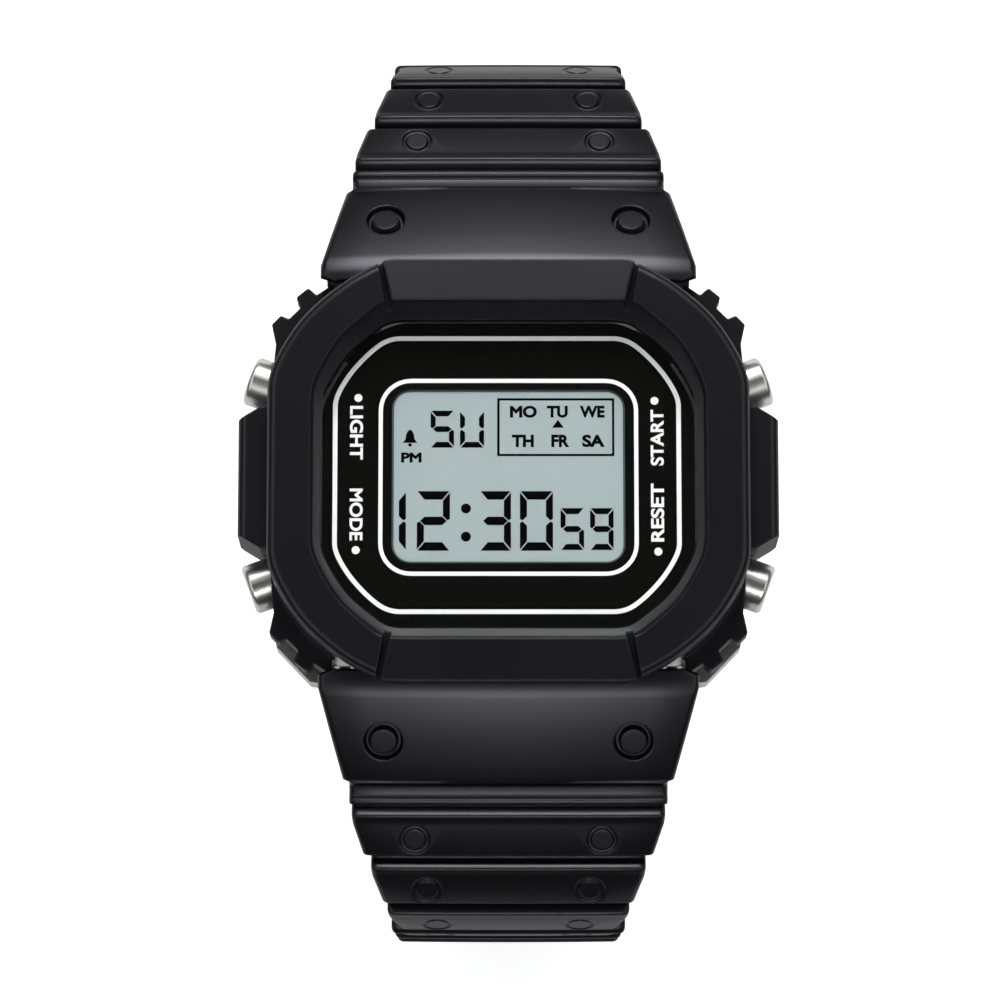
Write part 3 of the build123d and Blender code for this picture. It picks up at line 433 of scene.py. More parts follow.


# %% [markdown]
# ## The button springs
# A coil spring stands under the head of each button. Its inner end rests on the case and its outer
# end follows the head, so the whole coil gets shorter when the button goes in. A stiff copy would
# run through the head. Here each spring becomes a piece of its own, a copy of the imported coil
# attached to the case, and the imported coil is hidden.

# %% One coil for each button
BUTTON_LEAN = radians(20)
BUTTON_SIDES = {"light": (-1, 1), "mode": (-1, -1), "start": (1, 1), "reset": (1, -1)}


def shortening_spring(name, side_x, side_y):
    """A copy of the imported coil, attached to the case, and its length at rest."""
    node = "button_spring_" + name
    spring = add_object("return_coil_" + name, nodes[node].data.copy())
    inward = Vector((-side_x * cos(BUTTON_LEAN), -side_y * sin(BUTTON_LEAN), 0))
    points = sorted((vertex.co.copy() for vertex in spring.data.vertices), key=inward.dot)
    length = inward.dot(points[-1] - points[0])
    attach(spring, "case")
    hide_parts(node)
    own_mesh(spring)
    return length / MM


lengths = [shortening_spring(name, *sides) for name, sides in BUTTON_SIDES.items()]
print("springs at rest, mm:", [round(length, 2) for length in lengths])


# %% [markdown]
# ## The strap, first its line
# Each strap half is one long moulding. Its outer surface follows a smooth path in the side view:
# straight off the case, round the side of the wrist and in underneath. The path is a chain of gentle
# arcs, each with a length and an angle that it turns through, so a place on the strap is simply a
# distance from the edge of the bezel.

# %% The path of a strap half
START = (17.4, 10.7)
START_SLOPE = radians(24)
UNDER_SLOPE = radians(10)
UPPER_PATH = [(13.8, 2), (5, 7), (6, 57), (18, 8), (10, 54), (12, 3), (2, 12)]
LOWER_PATH = [(12, 3), (4.5, 11), (7, 52), (20, 8), (22, 80), (20, 10)]
UPPER_LENGTH = 66.0
LOWER_LENGTH = 84.0


def place_on(path, place):
    """Depth, height and slope of the outer surface at a distance from the bezel's edge, in millimetres."""
    y, z, slope = START[0], START[1], START_SLOPE
    if place < 0:
        return y + place * cos(UNDER_SLOPE), z - place * sin(UNDER_SLOPE), slope
    left = place
    for length, turn in path:
        run = min(left, length)
        rate = radians(turn) / length
        turned = slope + rate * run
        y += (sin(turned) - sin(slope)) / rate
        z += (cos(turned) - cos(slope)) / rate
        slope = turned
        left -= run
        if left <= 0:
            break
    return y + left * cos(slope), z - left * sin(slope), slope


for label, path, length in (("upper", UPPER_PATH, UPPER_LENGTH), ("lower", LOWER_PATH, LOWER_LENGTH)):
    y, z, slope = place_on(path, length)
    print(label, "strap ends at", round(y, 1), round(z, 1), "mm")


# %% [markdown]
# ## The strap, then its ribs
# Along the path the surface rises and falls: a smooth end block, a groove with a fine line in it,
# then ribs with a soft crest in front and a step behind. These are drawn as one profile of corners,
# and every corner is rounded with its own small radius, because moulded resin has no sharp edge.
# The half width and the depth below the surface are given for each place in the same way.

# %% Profile, widths and depth
RIB_FIRST = 10.4
RIB_PITCH = 4.55
RIB_HALF_WIDTHS = [12.4, 10.9, 9.65, 9.4, 9.2, 9.1]
RIB_TAPER = 0.9
RIB_PANEL = 3.35
GROOVE = -0.85
BAND_HALF_WIDTH = 9.0
BAND_RELIEF = -0.25
# One rib's corners as (place from its crest, height, rounding), and what the last rib ends with.
RIB_CORNERS = [
    (-0.65, GROOVE, 0.1), (-0.39, -0.22, 0.12), (-0.12, 0.12, 0.16), (0.5, -0.03, 0.3),
    (RIB_PANEL, -0.1, 0.14), (RIB_PANEL + 0.2, GROOVE, 0.1),
]
LAST_RIB_CORNER = (RIB_PANEL + 0.25, BAND_RELIEF, 0.1)
RIB_LEAD = 0.8
RIB_BULGE = 1.5
# The end block: its end, its half width at the bezel and how much narrower it gets, its corner as
# (sideways, along), its fall, its crown, the step between stations, its reach under the bezel.
BLOCK_END = 7.7
BLOCK_HALF_WIDTH = 15.0
BLOCK_NARROWING = 1.9
BLOCK_CORNER = (1.0, 0.45)
BLOCK_FALL = 0.42
BLOCK_CROWN = 0.5
BLOCK_STEP = 0.7
UNDER = 1.5
# The groove after it, with a fine raised line.
NECK_HALF_WIDTH = 12.6
NECK_CORNERS = [
    (8.08, -0.9, 0.12), (8.95, -0.9, 0.1), (9.12, -0.46, 0.1), (9.58, -0.46, 0.1), (9.74, -0.85, 0.08),
]
# Thickness: deep up to a place, thin from another on, and a little thinner after the ribs.
DEEP, DEEP_END = 6.3, 4.6
THIN, THIN_START = 3.0, 9.0
BAND_THINNING, THINNING_RUN = 0.4, 2
TIP_LENGTH = 4.0
CORNER_SHARE = 0.48


def rib_corners():
    """The ribs as corners (place, height, rounding)."""
    corners = []
    for number in range(len(RIB_HALF_WIDTHS)):
        crest = RIB_FIRST + number * RIB_PITCH
        corners += [(crest + place, height, rounding) for place, height, rounding in RIB_CORNERS]
    place, height, rounding = LAST_RIB_CORNER
    corners[-1] = (crest + place, height, rounding)
    return corners


def block_height(place):
    """The end block falls away from its straight line, gently at first."""
    return -BLOCK_FALL * max(place, 0) ** 2 / BLOCK_END ** 2


def head_corners():
    """The end block, the groove after it and the fine raised line."""
    places = [-UNDER, BLOCK_CORNER[1] - UNDER] + [number * BLOCK_STEP for number in range(-1, 10)]
    block = [(place, block_height(place), 0) for place in places]
    return block + [(BLOCK_END, block_height(BLOCK_END), 0.2)] + NECK_CORNERS


def rounded_profile(corners, steps=4):
    """Places and heights along the profile, with every corner turned into a short curve."""
    points = [corners[0][:2]]
    for before, corner, after in zip(corners, corners[1:], corners[2:]):
        radius = corner[2]
        if radius == 0:
            points.append(corner[:2])
            continue
        ends = []
        for other in (before, after):
            reach = hypot(other[0] - corner[0], other[1] - corner[1])
            share = min(radius / reach, CORNER_SHARE)
            ends.append([corner[axis] + share * (other[axis] - corner[axis]) for axis in (0, 1)])
        for step in range(steps + 1):
            t = step / steps
            weights = ((1 - t) ** 2, 2 * t * (1 - t), t * t)
            points.append(tuple(
                weights[0] * ends[0][axis] + weights[1] * corner[axis] + weights[2] * ends[1][axis]
                for axis in (0, 1)
            ))
    points.append(corners[-1][:2])
    return points


def half_width_at(place):
    """Half the strap's width, stepping in at every groove and bulging a little along every rib."""
    if place <= BLOCK_END:
        corner = max(BLOCK_CORNER[1] - UNDER - place, 0) / BLOCK_CORNER[1]
        narrowing = BLOCK_NARROWING * max(place, 0) / BLOCK_END
        return BLOCK_HALF_WIDTH - narrowing - corner * BLOCK_CORNER[0]
    if place < RIB_FIRST - RIB_LEAD:
        return NECK_HALF_WIDTH
    number = int((place - (RIB_FIRST - RIB_LEAD)) / RIB_PITCH)
    if number >= len(RIB_HALF_WIDTHS):
        return BAND_HALF_WIDTH
    wide = RIB_HALF_WIDTHS[number]
    narrow = BAND_HALF_WIDTH if number == len(RIB_HALF_WIDTHS) - 1 else wide - RIB_TAPER
    along = (place - RIB_FIRST - number * RIB_PITCH) / RIB_PANEL
    return wide - (wide - narrow) * min(max(along, 0), 1) ** RIB_BULGE


def depth_at(place):
    """Thickness below the outer line: deep round the spring bar, then thin, thinner along the band."""
    if place <= DEEP_END:
        return DEEP
    if place < THIN_START:
        return DEEP - (DEEP - THIN) * (place - DEEP_END) / (THIN_START - DEEP_END)
    band = RIB_FIRST + len(RIB_HALF_WIDTHS) * RIB_PITCH
    return THIN - BAND_THINNING * min(max((place - band) / THINNING_RUN + 1, 0), 1)


print("rib corners:", len(rib_corners()))


# %% [markdown]
# ## The strap, its skin
# At every place of the profile a closed ring of points is laid across the strap and rings are joined
# with four-sided faces. The ring has rounded edges above and below, and the end block is crowned a
# little from side to side. Small things are cut afterwards with Boolean tools, as a mould maker
# would add them: the ring marks, the holes, the hollow for the lugs and the bore of the spring bar.

# %% Rings and skins
EDGE_RADIUS = 0.5
INNER_RADIUS = 0.7
BAND_CROWN = 0.06
TOP_SPANS = 10
ROUND_STEPS = 4
BAND_STEP = 1.2
# The free end: how far round it is drawn, how narrow and how much thinner it gets, how blunt it is.
TIP_STEPS = 8
TIP_TURN = 0.985
TIP_NARROWEST = 0.42
TIP_THINNING = 0.25
TIP_BLUNTNESS = 0.8


def section(place, height):
    """The ring of points across the strap at one place, as (sideways, outward)."""
    half = half_width_at(place)
    depth = depth_at(place)
    crown = BLOCK_CROWN if place <= BLOCK_END else BAND_CROWN
    side, inner = EDGE_RADIUS, INNER_RADIUS
    top = []
    for number in range(TOP_SPANS + 1):
        x = (half - side) * (2 * number / TOP_SPANS - 1)
        top.append((x, height - crown * (x / half) ** 2))
    turns = [step / ROUND_STEPS * pi / 2 for step in range(ROUND_STEPS + 1)]
    edge = [(half - side + side * sin(t), top[-1][1] - side + side * cos(t)) for t in turns[1:]]
    under = [(half - inner + inner * cos(t), -depth + inner - inner * sin(t)) for t in turns]
    right = top[TOP_SPANS // 2 + 1:] + edge + under + [((half - inner) / 2, -depth)]
    left = [(-x, h) for x, h in reversed(right)]
    return [top[TOP_SPANS // 2]] + right + [(0.0, -depth)] + left


def rings_for(path, length, tapered):
    """All stations of one strap half."""
    corners = head_corners() + rib_corners()
    start = corners[-1][0]
    end = length - TIP_LENGTH if tapered else length
    count = ceil((end - start) / BAND_STEP)
    corners += [(start + (end - start) * number / count, BAND_RELIEF, 0) for number in range(1, count + 1)]
    rings = []
    for place, height in rounded_profile(corners):
        rings.append([(place, x, h) for x, h in section(place, height)])
    if tapered:
        middle = (BAND_RELIEF - depth_at(end)) / 2
        for step in range(1, TIP_STEPS + 1):
            turn = step / TIP_STEPS * pi / 2 * TIP_TURN
            place = end + TIP_LENGTH * sin(turn)
            share = TIP_NARROWEST + (1 - TIP_NARROWEST) * cos(turn) ** TIP_BLUNTNESS
            thin = 1 - TIP_THINNING * (1 - cos(turn))
            rings.append([
                (place, x * share, middle + (h - middle) * thin) for x, h in section(end, BAND_RELIEF)
            ])
    return rings


def to_row(path, side, place, x, height):
    """A strap point in the shared frame, in metres. Side is 1 at twelve o'clock and -1 at six."""
    y, z, slope = place_on(path, place)
    return Vector((x, side * (y + height * sin(slope)), z + height * cos(slope))) * MM


def lathe(outline, frame_matrix, steps=40):
    """Rings of a turned body from (radius, height) points, placed by a matrix."""
    return [
        [frame_matrix @ Vector((r * cos(tau * n / steps), r * sin(tau * n / steps), h)) for r, h in outline]
        for n in range(steps)
    ]


def closed_mesh(name, bodies):
    """An object from closed skins, each a list of equal rings and whether the last joins the first."""
    mesh = bmesh.new()
    for rings, round_about in bodies:
        loops = [[mesh.verts.new(point) for point in ring] for ring in rings]
        faces = []
        pairs = list(zip(loops, loops[1:])) + ([(loops[-1], loops[0])] if round_about else [])
        for first, second in pairs:
            for number in range(len(first)):
                after = (number + 1) % len(first)
                faces.append(mesh.faces.new((first[number], first[after], second[after], second[number])))
        if not round_about:
            faces.append(mesh.faces.new(reversed(loops[0])))
            faces.append(mesh.faces.new(loops[-1]))
        bmesh.ops.recalc_face_normals(mesh, faces=faces)
    data = bpy.data.meshes.new(name)
    mesh.to_mesh(data)
    mesh.free()
    return add_object(name, data)


def carve(piece, name, bodies, operation="DIFFERENCE"):
    """Cuts or adds one tool made of closed skins for good, then removes the tool."""
    tool = closed_mesh(name, bodies)
    modifier = piece.modifiers.new("carve", "BOOLEAN")
    modifier.solver = "EXACT"
    modifier.operation = operation
    modifier.object = tool
    settled = piece.evaluated_get(bpy.context.evaluated_depsgraph_get())
    cut = bpy.data.meshes.new_from_object(settled)
    piece.modifiers.clear()
    piece.data = cut
    bpy.data.objects.remove(tool)


# %% [markdown]
# The ring marks are cut with turned tools: a narrow ring on a lathe, set upright on the strap's
# surface. A large pair sits on each end block and a small pair on every rib. The short half also
# gets the round end that the buckle's bar runs in, with a slot for the prong, and the long half
# its row of holes. Under both end blocks room is cut for the lugs and for the swing on the bar.

# %% Tools for the marks, the holes and the ends
MERGE_DISTANCE = 0.002
SLIVER_DISTANCE = 0.001
SHARP_ANGLE = radians(32)
BOSS = {"place": 4.3, "x": 9.85, "inner": 1.02, "outer": 1.55, "depth": 0.7, "foot": 0.24}
STUD = {"inner": 0.85, "outer": 1.2, "depth": 0.22, "foot": 0.12}
STUD_SHARE = 0.62
STUD_PLACE = 1.95
STUD_HEIGHT = -0.09
BOSS_CROWN_HALF = 14     # the half width that the crown is reckoned with at the bosses
RING_ABOVE = 1.5         # how far a ring's tool stands above the surface
RING_TURNS = (0.5, 1.05, pi / 2)
HOLE_FIRST = 44.0
HOLE_PITCH = 6.0
HOLES = 6
HOLE_HALF = (1.6, 0.95)
HOLE_REACH = (-6, 3)
PIVOT = (19.2, 5.6)
LUGS = (9.2, 12.2)
LUG_RADIUS = 2.3
BODY_GAP = 0.35
NOSE_RADIUS = 4.5
NOSE_STEPS = 20
NOSE_HALF_WIDTH = 13.4
CHEEK_BACK = 2.2
CUT_REACH = 12           # past the strap's back and past its under side
CUT_HALF_WIDTH = 17      # past both of its sides
STRAP_SKIN = 1.2
BAR_RADIUS = 0.95
BUCKLE_DROP = 1.5
KNUCKLE_RADIUS = 1.8
BUCKLE_BAR_RADIUS = 0.85
PRONG_SLOT = ((-1.6, -7, -6), (1.6, 2.3, 6))


def surface_matrix(path, side, place, x, height):
    """A matrix whose Z axis leaves the outer surface at a place and whose X axis runs across."""
    y, z, slope = place_on(path, place)
    out = Vector((0, side * sin(slope), cos(slope)))
    across = Vector((1, 0, 0))
    origin = Vector((x, side * (y + height * sin(slope)), z + height * cos(slope))) * MM
    rows = Matrix((across, out.cross(across), out)).transposed().to_4x4()
    return Matrix.Translation(origin) @ rows


def ring_tool(path, side, place, x, height, inner, outer, depth, foot):
    """A turned ring with a rounded foot, standing on the surface."""
    foot_curve = [(foot * (1 - cos(t)), -depth + foot * (1 - sin(t))) for t in RING_TURNS]
    outline = [(inner, RING_ABOVE), (inner, foot - depth)]
    outline += [(inner + inward, h) for inward, h in foot_curve]
    outline += [(outer - inward, h) for inward, h in reversed(foot_curve)]
    outline += [(outer, foot - depth), (outer, RING_ABOVE)]
    scaled = [(r * MM, h * MM) for r, h in outline]
    return lathe(scaled, surface_matrix(path, side, place, x, height)), True


def box_tool(matrix, low, high):
    """A plain box between two corners, as two rings."""
    rings = []
    for z in (low[2], high[2]):
        corners = [(low[0], low[1]), (high[0], low[1]), (high[0], high[1]), (low[0], high[1])]
        rings.append([matrix @ (Vector((x, y, z)) * MM) for x, y in corners])
    return rings, False


def rod_tool(matrix, radius, low, high, steps=48):
    """A round rod along a matrix's X axis."""
    rings = []
    for x in (low, high):
        rings.append([
            matrix @ (Vector((x, radius * cos(tau * n / steps), radius * sin(tau * n / steps))) * MM)
            for n in range(steps)
        ])
    return rings, False


def mark_tools(path, side):
    """Every ring mark of one strap half."""
    tools = []
    for sign in (1, -1):
        height = block_height(BOSS["place"]) - BLOCK_CROWN * (BOSS["x"] / BOSS_CROWN_HALF) ** 2
        sizes = [BOSS[size] for size in ("inner", "outer", "depth", "foot")]
        tools.append(ring_tool(path, side, BOSS["place"], sign * BOSS["x"], height, *sizes))
        for number, half in enumerate(RIB_HALF_WIDTHS):
            place = RIB_FIRST + number * RIB_PITCH + STUD_PLACE
            x = sign * STUD_SHARE * (half - RIB_TAPER / 2)
            tools.append(ring_tool(path, side, place, x, STUD_HEIGHT, **STUD))
    return tools


def pivot_matrix(side):
    """The spring bar's axis: X along the bar, Y back towards the case, Z out of the strap."""
    out = Vector((0, side * sin(START_SLOPE), cos(START_SLOPE)))
    back = Vector((0, -side * cos(START_SLOPE), sin(START_SLOPE)))
    rows = Matrix((Vector((1, 0, 0)), back, out)).transposed().to_4x4()
    return Matrix.Translation(Vector((0, side * PIVOT[0], PIVOT[1])) * MM) @ rows


def nose_tools(side):
    """What is cleared under the skin so that the end block can swing past the case, in three stages."""
    axis = pivot_matrix(side)
    skin_height = (START[0] - PIVOT[0]) * sin(START_SLOPE) + (START[1] - PIVOT[1]) * cos(START_SLOPE)
    top = skin_height - STRAP_SKIN
    first = acos(top / NOSE_RADIUS)
    arc = [first + (pi - first) * n / NOSE_STEPS for n in range(NOSE_STEPS + 1)]
    curve = [(NOSE_RADIUS * sin(t), NOSE_RADIUS * cos(t)) for t in arc]
    outline = curve + [(0, -CUT_REACH), (CUT_REACH, -CUT_REACH), (CUT_REACH, top)]
    rings = []
    for x in (-CUT_HALF_WIDTH, CUT_HALF_WIDTH):
        rings.append([axis @ (Vector((x, y, z)) * MM) for y, z in outline])
    slots = []
    reach = LUG_RADIUS + BODY_GAP
    for sign in (1, -1):
        near, far = sorted((sign * (LUGS[0] - BODY_GAP), sign * (LUGS[1] + BODY_GAP)))
        slots.append(box_tool(axis, (near, -reach, -CUT_REACH), (far, CUT_REACH, top)))
        near, far = sorted((sign * NOSE_HALF_WIDTH, sign * CUT_HALF_WIDTH))
        slots.append(box_tool(axis, (near, CHEEK_BACK, -CUT_REACH), (far, CUT_REACH, top)))
    bore = rod_tool(axis, BAR_RADIUS, -LUGS[1], LUGS[1])
    return [(rings, False)], slots, [bore]


def buckle_matrix():
    """The buckle bar's axis under the end of the short half."""
    y, z, slope = place_on(UPPER_PATH, UPPER_LENGTH)
    y -= BUCKLE_DROP * sin(slope)
    z -= BUCKLE_DROP * cos(slope)
    out = Vector((0, sin(slope), cos(slope)))
    across = Vector((1, 0, 0))
    rows = Matrix((across, out.cross(across), out)).transposed().to_4x4()
    print("buckle bar at", round(y, 2), round(z, 2))
    return Matrix.Translation(Vector((0, y, z)) * MM) @ rows


def settle(piece, finish):
    """Merges what the cuts left nearly double, then smooth shading with crisp steps, and a finish."""
    mesh = bmesh.new()
    mesh.from_mesh(piece.data)
    bmesh.ops.remove_doubles(mesh, verts=mesh.verts, dist=MERGE_DISTANCE * MM)
    bmesh.ops.dissolve_degenerate(mesh, edges=mesh.edges, dist=SLIVER_DISTANCE * MM)
    mesh.to_mesh(piece.data)
    mesh.free()
    piece.data.shade_smooth()
    piece.data.set_sharp_from_angle(angle=SHARP_ANGLE)
    piece.data.materials.clear()
    piece.data.materials.append(FINISHES[finish])


# %% [markdown]
# Now both halves are made, the skin first and then every cut in turn. The half at twelve o'clock is
# short and carries the buckle, the half at six is long and has the holes. A mould would form all
# of it at once. Cutting in turn keeps every feature simple to change.

# %% Make the two strap halves
def make_strap(name, path, length, side, tapered):
    """One strap half: skin first, then everything that is cut from it."""
    rings = [[to_row(path, side, *point) for point in ring] for ring in rings_for(path, length, tapered)]
    strap = closed_mesh(name, [(rings, False)])
    if not tapered:
        axis = buckle_matrix()
        knuckle = rod_tool(axis, KNUCKLE_RADIUS, -BAND_HALF_WIDTH, BAND_HALF_WIDTH)
        carve(strap, "knuckle", [knuckle], "UNION")
        carve(strap, "bore", [rod_tool(axis, BUCKLE_BAR_RADIUS, -CUT_REACH, CUT_REACH)])
        carve(strap, "slot", [box_tool(axis, *PRONG_SLOT)])
    for stage in nose_tools(side):
        carve(strap, "nose", stage)
    carve(strap, "marks", mark_tools(path, side))
    if tapered:
        half_wide, half_long = HOLE_HALF
        low, high = HOLE_REACH
        holes = []
        for number in range(HOLES):
            matrix = surface_matrix(path, side, HOLE_FIRST + number * HOLE_PITCH, 0, 0)
            holes.append(box_tool(matrix, (-half_wide, -half_long, low), (half_wide, half_long, high)))
        carve(strap, "holes", holes)
    settle(strap, "strap_resin")
    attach(strap, name.replace("_moulding", ""))
    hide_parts(name.replace("_moulding", ""))
    print(name, "faces", len(strap.data.polygons), "size mm", [round(v / MM, 1) for v in strap.dimensions])


make_strap("strap_upper_moulding", UPPER_PATH, UPPER_LENGTH, 1, False)
make_strap("strap_lower_moulding", LOWER_PATH, LOWER_LENGTH, -1, True)


# %% [markdown]
# ## The face, first how flat print is made
# The face is printed: black ink behind the glass with white lines and words, and the figures of the
# liquid crystal under a window in it. Every printed shape is a flat outline with a little real
# thickness. Outlines are drawn as plain closed curves, holes included, and turned into meshes, so an
# edge stays sharp however close the camera comes.

# %% Outlines, plates and words
def smooth_outline(shares, half_size, steps=8):
    """A closed outline, mirrored about both axes, with straight sides and one smooth curve per corner."""
    points = [Vector((x * half_size[0], y * half_size[1])) for x, y in shares]
    slopes = [Vector((0, 1))]
    slopes += [(after - before).normalized() for before, after in zip(points, points[2:])]
    slopes.append(Vector((-1, 0)))
    corner = []
    for number, (first, second) in enumerate(zip(points, points[1:])):
        reach = (second - first).length
        for step in range(steps):
            t = step / steps
            corner.append(
                (2 * t ** 3 - 3 * t ** 2 + 1) * first + (t ** 3 - 2 * t ** 2 + t) * reach * slopes[number]
                + (3 * t ** 2 - 2 * t ** 3) * second + (t ** 3 - t ** 2) * reach * slopes[number + 1]
            )
    corner.append(points[-1])
    back = [Vector((-p.x, p.y)) for p in reversed(corner)]
    return corner + back + [Vector((-p.x, -p.y)) for p in corner] + [Vector((-p.x, -p.y)) for p in back]


def round_rectangle(half_width, half_height, radius, centre=(0, 0), steps=8):
    """A closed rectangle with round corners."""
    points = []
    for number, (sx, sy) in enumerate(((1, 1), (-1, 1), (-1, -1), (1, -1))):
        for step in range(steps + 1):
            turn = (number + step / steps) * pi / 2
            points.append(Vector((
                centre[0] + sx * (half_width - radius) + radius * cos(turn),
                centre[1] + sy * (half_height - radius) + radius * sin(turn),
            )))
    return points


def moved_out(points, distance):
    """A closed outline moved outward by a distance."""
    moved = []
    for before, point, after in zip(points[-1:] + points[:-1], points, points[1:] + points[:1]):
        run = (after - before).normalized()
        moved.append(point + distance * Vector((run.y, -run.x)))
    return moved


def disc(x, y, radius, steps=24):
    """A closed circle."""
    turns = [tau * n / steps for n in range(steps)]
    return [Vector((x + radius * cos(turn), y + radius * sin(turn))) for turn in turns]


def plate(name, outlines, low, high, finish):
    """A flat piece with real thickness from closed outlines. An outline inside another is a hole."""
    curve = bpy.data.curves.new(name, "CURVE")
    curve.dimensions = "2D"
    curve.fill_mode = "BOTH"
    curve.extrude = (high - low) / 2
    for outline in outlines:
        spline = curve.splines.new("POLY")
        spline.points.add(len(outline) - 1)
        for point, place in zip(spline.points, outline):
            point.co = (place[0], place[1], 0, 1)
        spline.use_cyclic_u = True
    return from_curve(curve, finish, Matrix.Translation((0, 0, (low + high) / 2)))


def from_curve(curve, finish, matrix):
    """A curve turned into a mesh on the case, placed in millimetres."""
    drawn = add_object(curve.name, curve)
    mesh = bpy.data.meshes.new_from_object(drawn.evaluated_get(bpy.context.evaluated_depsgraph_get()))
    bpy.data.objects.remove(drawn)
    mesh.transform(Matrix.Scale(MM, 4) @ matrix)
    mesh.materials.clear()
    mesh.materials.append(FINISHES[finish])
    piece = add_object(mesh.name, mesh)
    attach(piece, "case")
    return piece


def word(name, text, centre, size, turn, low, high, finish, bold=0.03):
    """A word fitted to a length and a height about a centre, turned by an angle in degrees."""
    curve = bpy.data.curves.new(name, "FONT")
    curve.body = text
    curve.bevel_depth = bold
    curve.bevel_resolution = 1
    curve.extrude = bold
    drawn = add_object(name, curve)
    bpy.context.view_layer.update()
    corners = [Vector(corner) for corner in drawn.bound_box]
    bpy.data.objects.remove(drawn)
    left, right = min(c.x for c in corners), max(c.x for c in corners)
    foot, head = min(c.y for c in corners), max(c.y for c in corners)
    middle = Matrix.Translation((-(left + right) / 2, -(foot + head) / 2, 0))
    thin = (high - low) / (4 * bold)
    fitted = Matrix.Diagonal((size[0] / (right - left), size[1] / (head - foot), thin, 1)) @ middle
    place = Matrix.Translation((*centre, (low + high) / 2)) @ Matrix.Rotation(radians(turn), 4, "Z")
    return from_curve(curve, finish, place @ fitted)


# %% [markdown]
# The black film carries the white print on its upper side, under the glass. One wide line follows
# the crystal's eight-sided outline, a finer one frames the window, and four words name the buttons
# beside four dots.

# %% The film and its white print
FILM_SHARES = [(1.0, 0.40), (0.945, 0.615), (0.83, 0.81), (0.715, 0.925), (0.54, 1.0)]
LINE_SHARES = [
    (1.0, 0.50), (0.985, 0.585), (0.93, 0.708), (0.862, 0.815), (0.77, 0.925), (0.70, 0.98), (0.62, 1.0),
]
FILM_HALF = (14.93, 12.43)
OUTER_LINE_HALF = (13.65, 11.05)
OUTER_LINE_SHIFT = Vector((-0.12, 0.12))
OUTER_LINE_WEIGHT = 0.185
INNER_LINE = (10.15, 7.8, 2.4, (0, -0.085))
INNER_LINE_WEIGHT = 0.165
WINDOW = (9.26, 7.03, 1.5)
FILM = (8.905, 9.03)
INK = (9.028, 9.043)
WORD_HEIGHT = 1.06
DOT_RADIUS = 0.32
# For each word: its centre, its length and the way it is turned.
WORDS = {
    "LIGHT": ((-12.075, 3.50), 4.36, -90), "MODE": ((-12.075, -3.12), 4.2, -90),
    "START": ((11.815, 3.10), 4.52, 90), "RESET": ((11.815, -2.96), 4.69, 90),
}
DOTS = [(-11.94, 6.33), (-12.09, -5.99), (11.62, 6.09), (11.86, -6.11)]

film_outline = smooth_outline(FILM_SHARES, FILM_HALF)
film = plate("face_film", [film_outline, round_rectangle(*WINDOW)], *FILM, "dial_print")
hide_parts("dial_film")
outer = [point + OUTER_LINE_SHIFT for point in smooth_outline(LINE_SHARES, OUTER_LINE_HALF)]
inner = round_rectangle(*INNER_LINE)
for name, line, weight in (("outer", outer, OUTER_LINE_WEIGHT), ("inner", inner, INNER_LINE_WEIGHT)):
    plate("line_" + name, [moved_out(line, weight), moved_out(line, -weight)], *INK, "white_ink")
for text, (centre, length, turn) in WORDS.items():
    word("word_" + text.lower(), text, centre, (length, WORD_HEIGHT), turn, *INK, "white_ink")
plate("button_dots", [disc(x, y, DOT_RADIUS) for x, y in DOTS], *INK, "white_ink")
print("printed words:", ", ".join(WORDS))


# %% [markdown]
# ## The liquid crystal
# A reflective display shows dark figures on a pale green-grey ground. Each digit is made of bars
# with slanted ends and hair-fine gaps between them. The figures lie just on the panel under the
# window. A thin dark band is painted round the window's edge as shade, where the film's edge stands over
# the panel.

# %% Bars, digits and marks
BARS = {
    "0": "abcdef", "1": "bc", "2": "abged", "3": "abgcd",
    "5": "afgcd", "9": "abcdfg", "S": "afgcd", "U": "bcdef",
}
GAP = 0.05
FIGURES = (8.795, 8.815)
# For each row: the figures' left and right ends, the row's foot and head, the widths of its bars.
HOUR_ROW = ([(-10.75, -8.13), (-7.26, -4.64)], -5.99, -1.19, 0.61, 0.68)
MINUTE_ROW = ([(-2.26, 0.20), (0.91, 3.53)], -5.99, -1.19, 0.61, 0.68)
SECOND_ROW = ([(4.13, 5.99), (6.47, 8.33)], -5.93, -2.56, 0.45, 0.48)
DAY_ROW = ([(-6.19, -4.33), (-3.85, -1.94)], 2.34, 5.34, 0.45, 0.46)
COLON = [(-3.37, -2.59, 0.4), (-3.37, -4.86, 0.4)]
DATE_FRAME = [(4.66, 2.35, 0.05, (3.76, 4.0), 1), (4.47, 2.17, 0.05, (3.77, 4.0), 1)]
DATE_MARKER = [(3.47, 3.96), (4.41, 3.96), (3.94, 4.6)]
BELL_CENTRE = Vector((-7.82, 3.15))
BELL = [
    (-0.58, -0.42), (0.58, -0.42), (0.36, -0.12), (0.3, 0.3), (0.17, 0.54),
    (0, 0.66), (-0.17, 0.54), (-0.3, 0.3), (-0.36, -0.12),
]
CLAPPER = (-7.82, 2.56, 0.14, 12)
# For each short word: its middle, its length, the height of its middle and its own height.
DAY_NAMES = {
    "MO": (1.19, 2.14, 5.255, 0.97), "TU": (3.89, 1.66, 5.255, 0.97), "WE": (6.665, 1.99, 5.255, 0.97),
    "TH": (1.15, 1.74, 2.885, 1.01), "FR": (4.13, 1.44, 2.885, 1.01), "SA": (6.765, 1.79, 2.885, 1.01),
    "PM": (-7.715, 1.63, 1.535, 0.81),
}
DAY_NAME_WEIGHT = 0.045
# The thin dark band round the window is painted shade along the film's edge: its height, and how far it
# reaches out under the film and in from the window's edge.
RIM = (8.796, 8.81)
RIM_OUT, RIM_IN = 0.1, 0.16


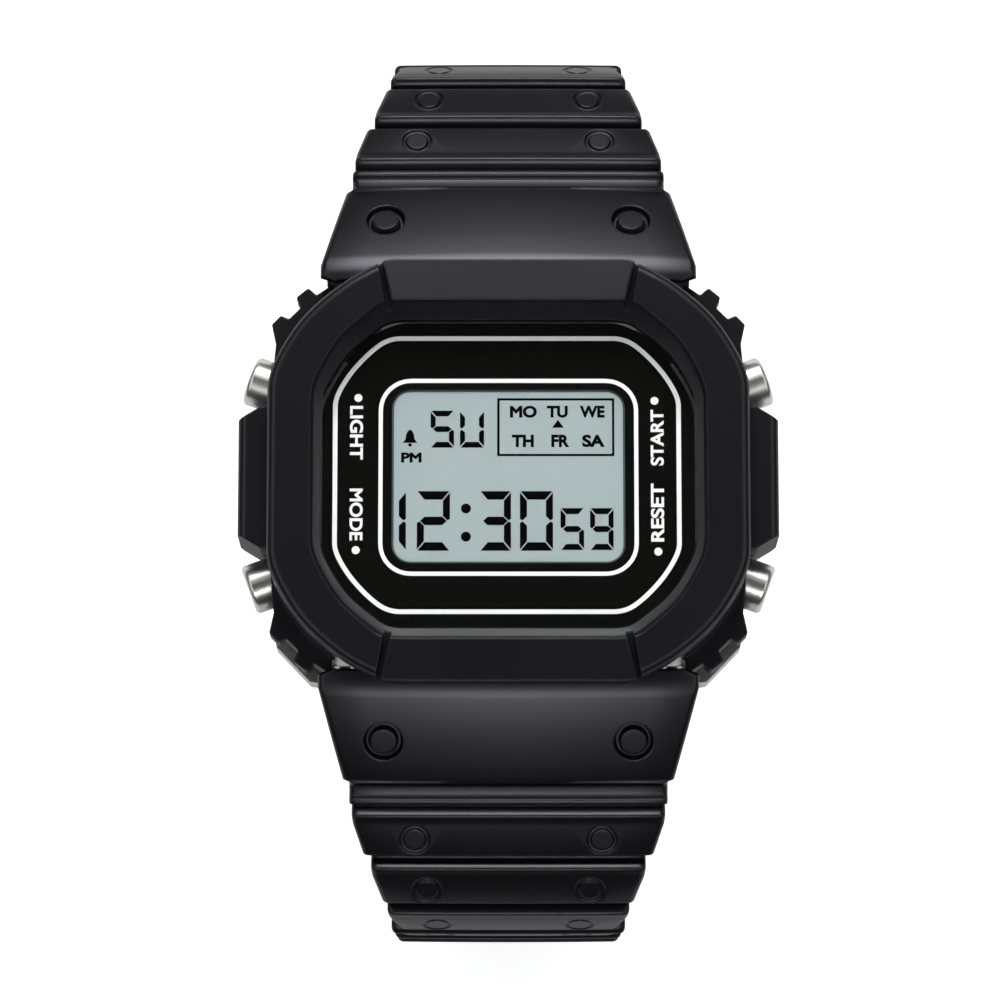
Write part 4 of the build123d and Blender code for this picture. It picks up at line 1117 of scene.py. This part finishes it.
def bars(symbol, x_low, x_high, y_low, y_high, wide, tall):
    """The slanted bars of one figure inside a box. Wide is for upright bars and tall for level ones."""
    half = tall / 2
    middle = (y_low + y_high) / 2
    left, right = x_low + GAP, x_high - GAP
    inner_left, inner_right = x_low + wide, x_high - wide
    shapes = {
        "a": [(left, y_high), (right, y_high), (inner_right, y_high - tall), (inner_left, y_high - tall)],
        "d": [(inner_left, y_low + tall), (inner_right, y_low + tall), (right, y_low), (left, y_low)],
        "g": [
            (left + wide / 3, middle), (inner_left, middle + half), (inner_right, middle + half),
            (right - wide / 3, middle), (inner_right, middle - half), (inner_left, middle - half),
        ],
    }
    for name, edge, turn in (("f", x_low, 1), ("b", x_high, -1)):
        inward = edge + turn * wide
        upper = [
            (edge, y_high - 2 * GAP), (inward - turn * GAP, y_high - tall - 2 * GAP),
            (inward - turn * GAP, middle + half + GAP), (edge + turn * wide / 3, middle + GAP),
            (edge, middle + 3 * GAP),
        ]
        shapes[name] = upper
        shapes["e" if name == "f" else "c"] = [(x, 2 * middle - y) for x, y in reversed(upper)]
    return [[Vector(point) for point in shapes[bar]] for bar in BARS[symbol]]


def row_of(text, boxes, y_low, y_high, wide, tall):
    """The bars of several figures that stand on one line."""
    row = []
    for symbol, (x_low, x_high) in zip(text, boxes):
        row += bars(symbol, x_low, x_high, y_low, y_high, wide, tall)
    return row


clock = row_of("12", *HOUR_ROW) + row_of("30", *MINUTE_ROW) + row_of("59", *SECOND_ROW)
day = row_of("SU", *DAY_ROW)
plate("lcd_time", clock + [disc(*dot) for dot in COLON], *FIGURES, "lcd_black")
plate("lcd_day", day, *FIGURES, "lcd_black")

marks = [round_rectangle(*sizes) for sizes in DATE_FRAME]
marks += [DATE_MARKER, [BELL_CENTRE + Vector(point) for point in BELL], disc(*CLAPPER)]
plate("lcd_marks", marks, *FIGURES, "lcd_black")
for text, (x, length, y, height) in DAY_NAMES.items():
    fitted = ((x, y), (length, height), 0, *FIGURES, "lcd_black")
    word("lcd_" + text.lower(), text, *fitted, bold=DAY_NAME_WEIGHT)
# The band round the window's edge, painted shade darker than the panel.
rim = round_rectangle(WINDOW[0] + RIM_OUT, WINDOW[1] + RIM_OUT, WINDOW[2])
plate("lcd_rim", [rim, moved_out(round_rectangle(*WINDOW), -RIM_IN)], *RIM, "lcd_rim")
print("figures and marks on the panel:", len(clock + day), "bars,", len(DAY_NAMES), "short words")
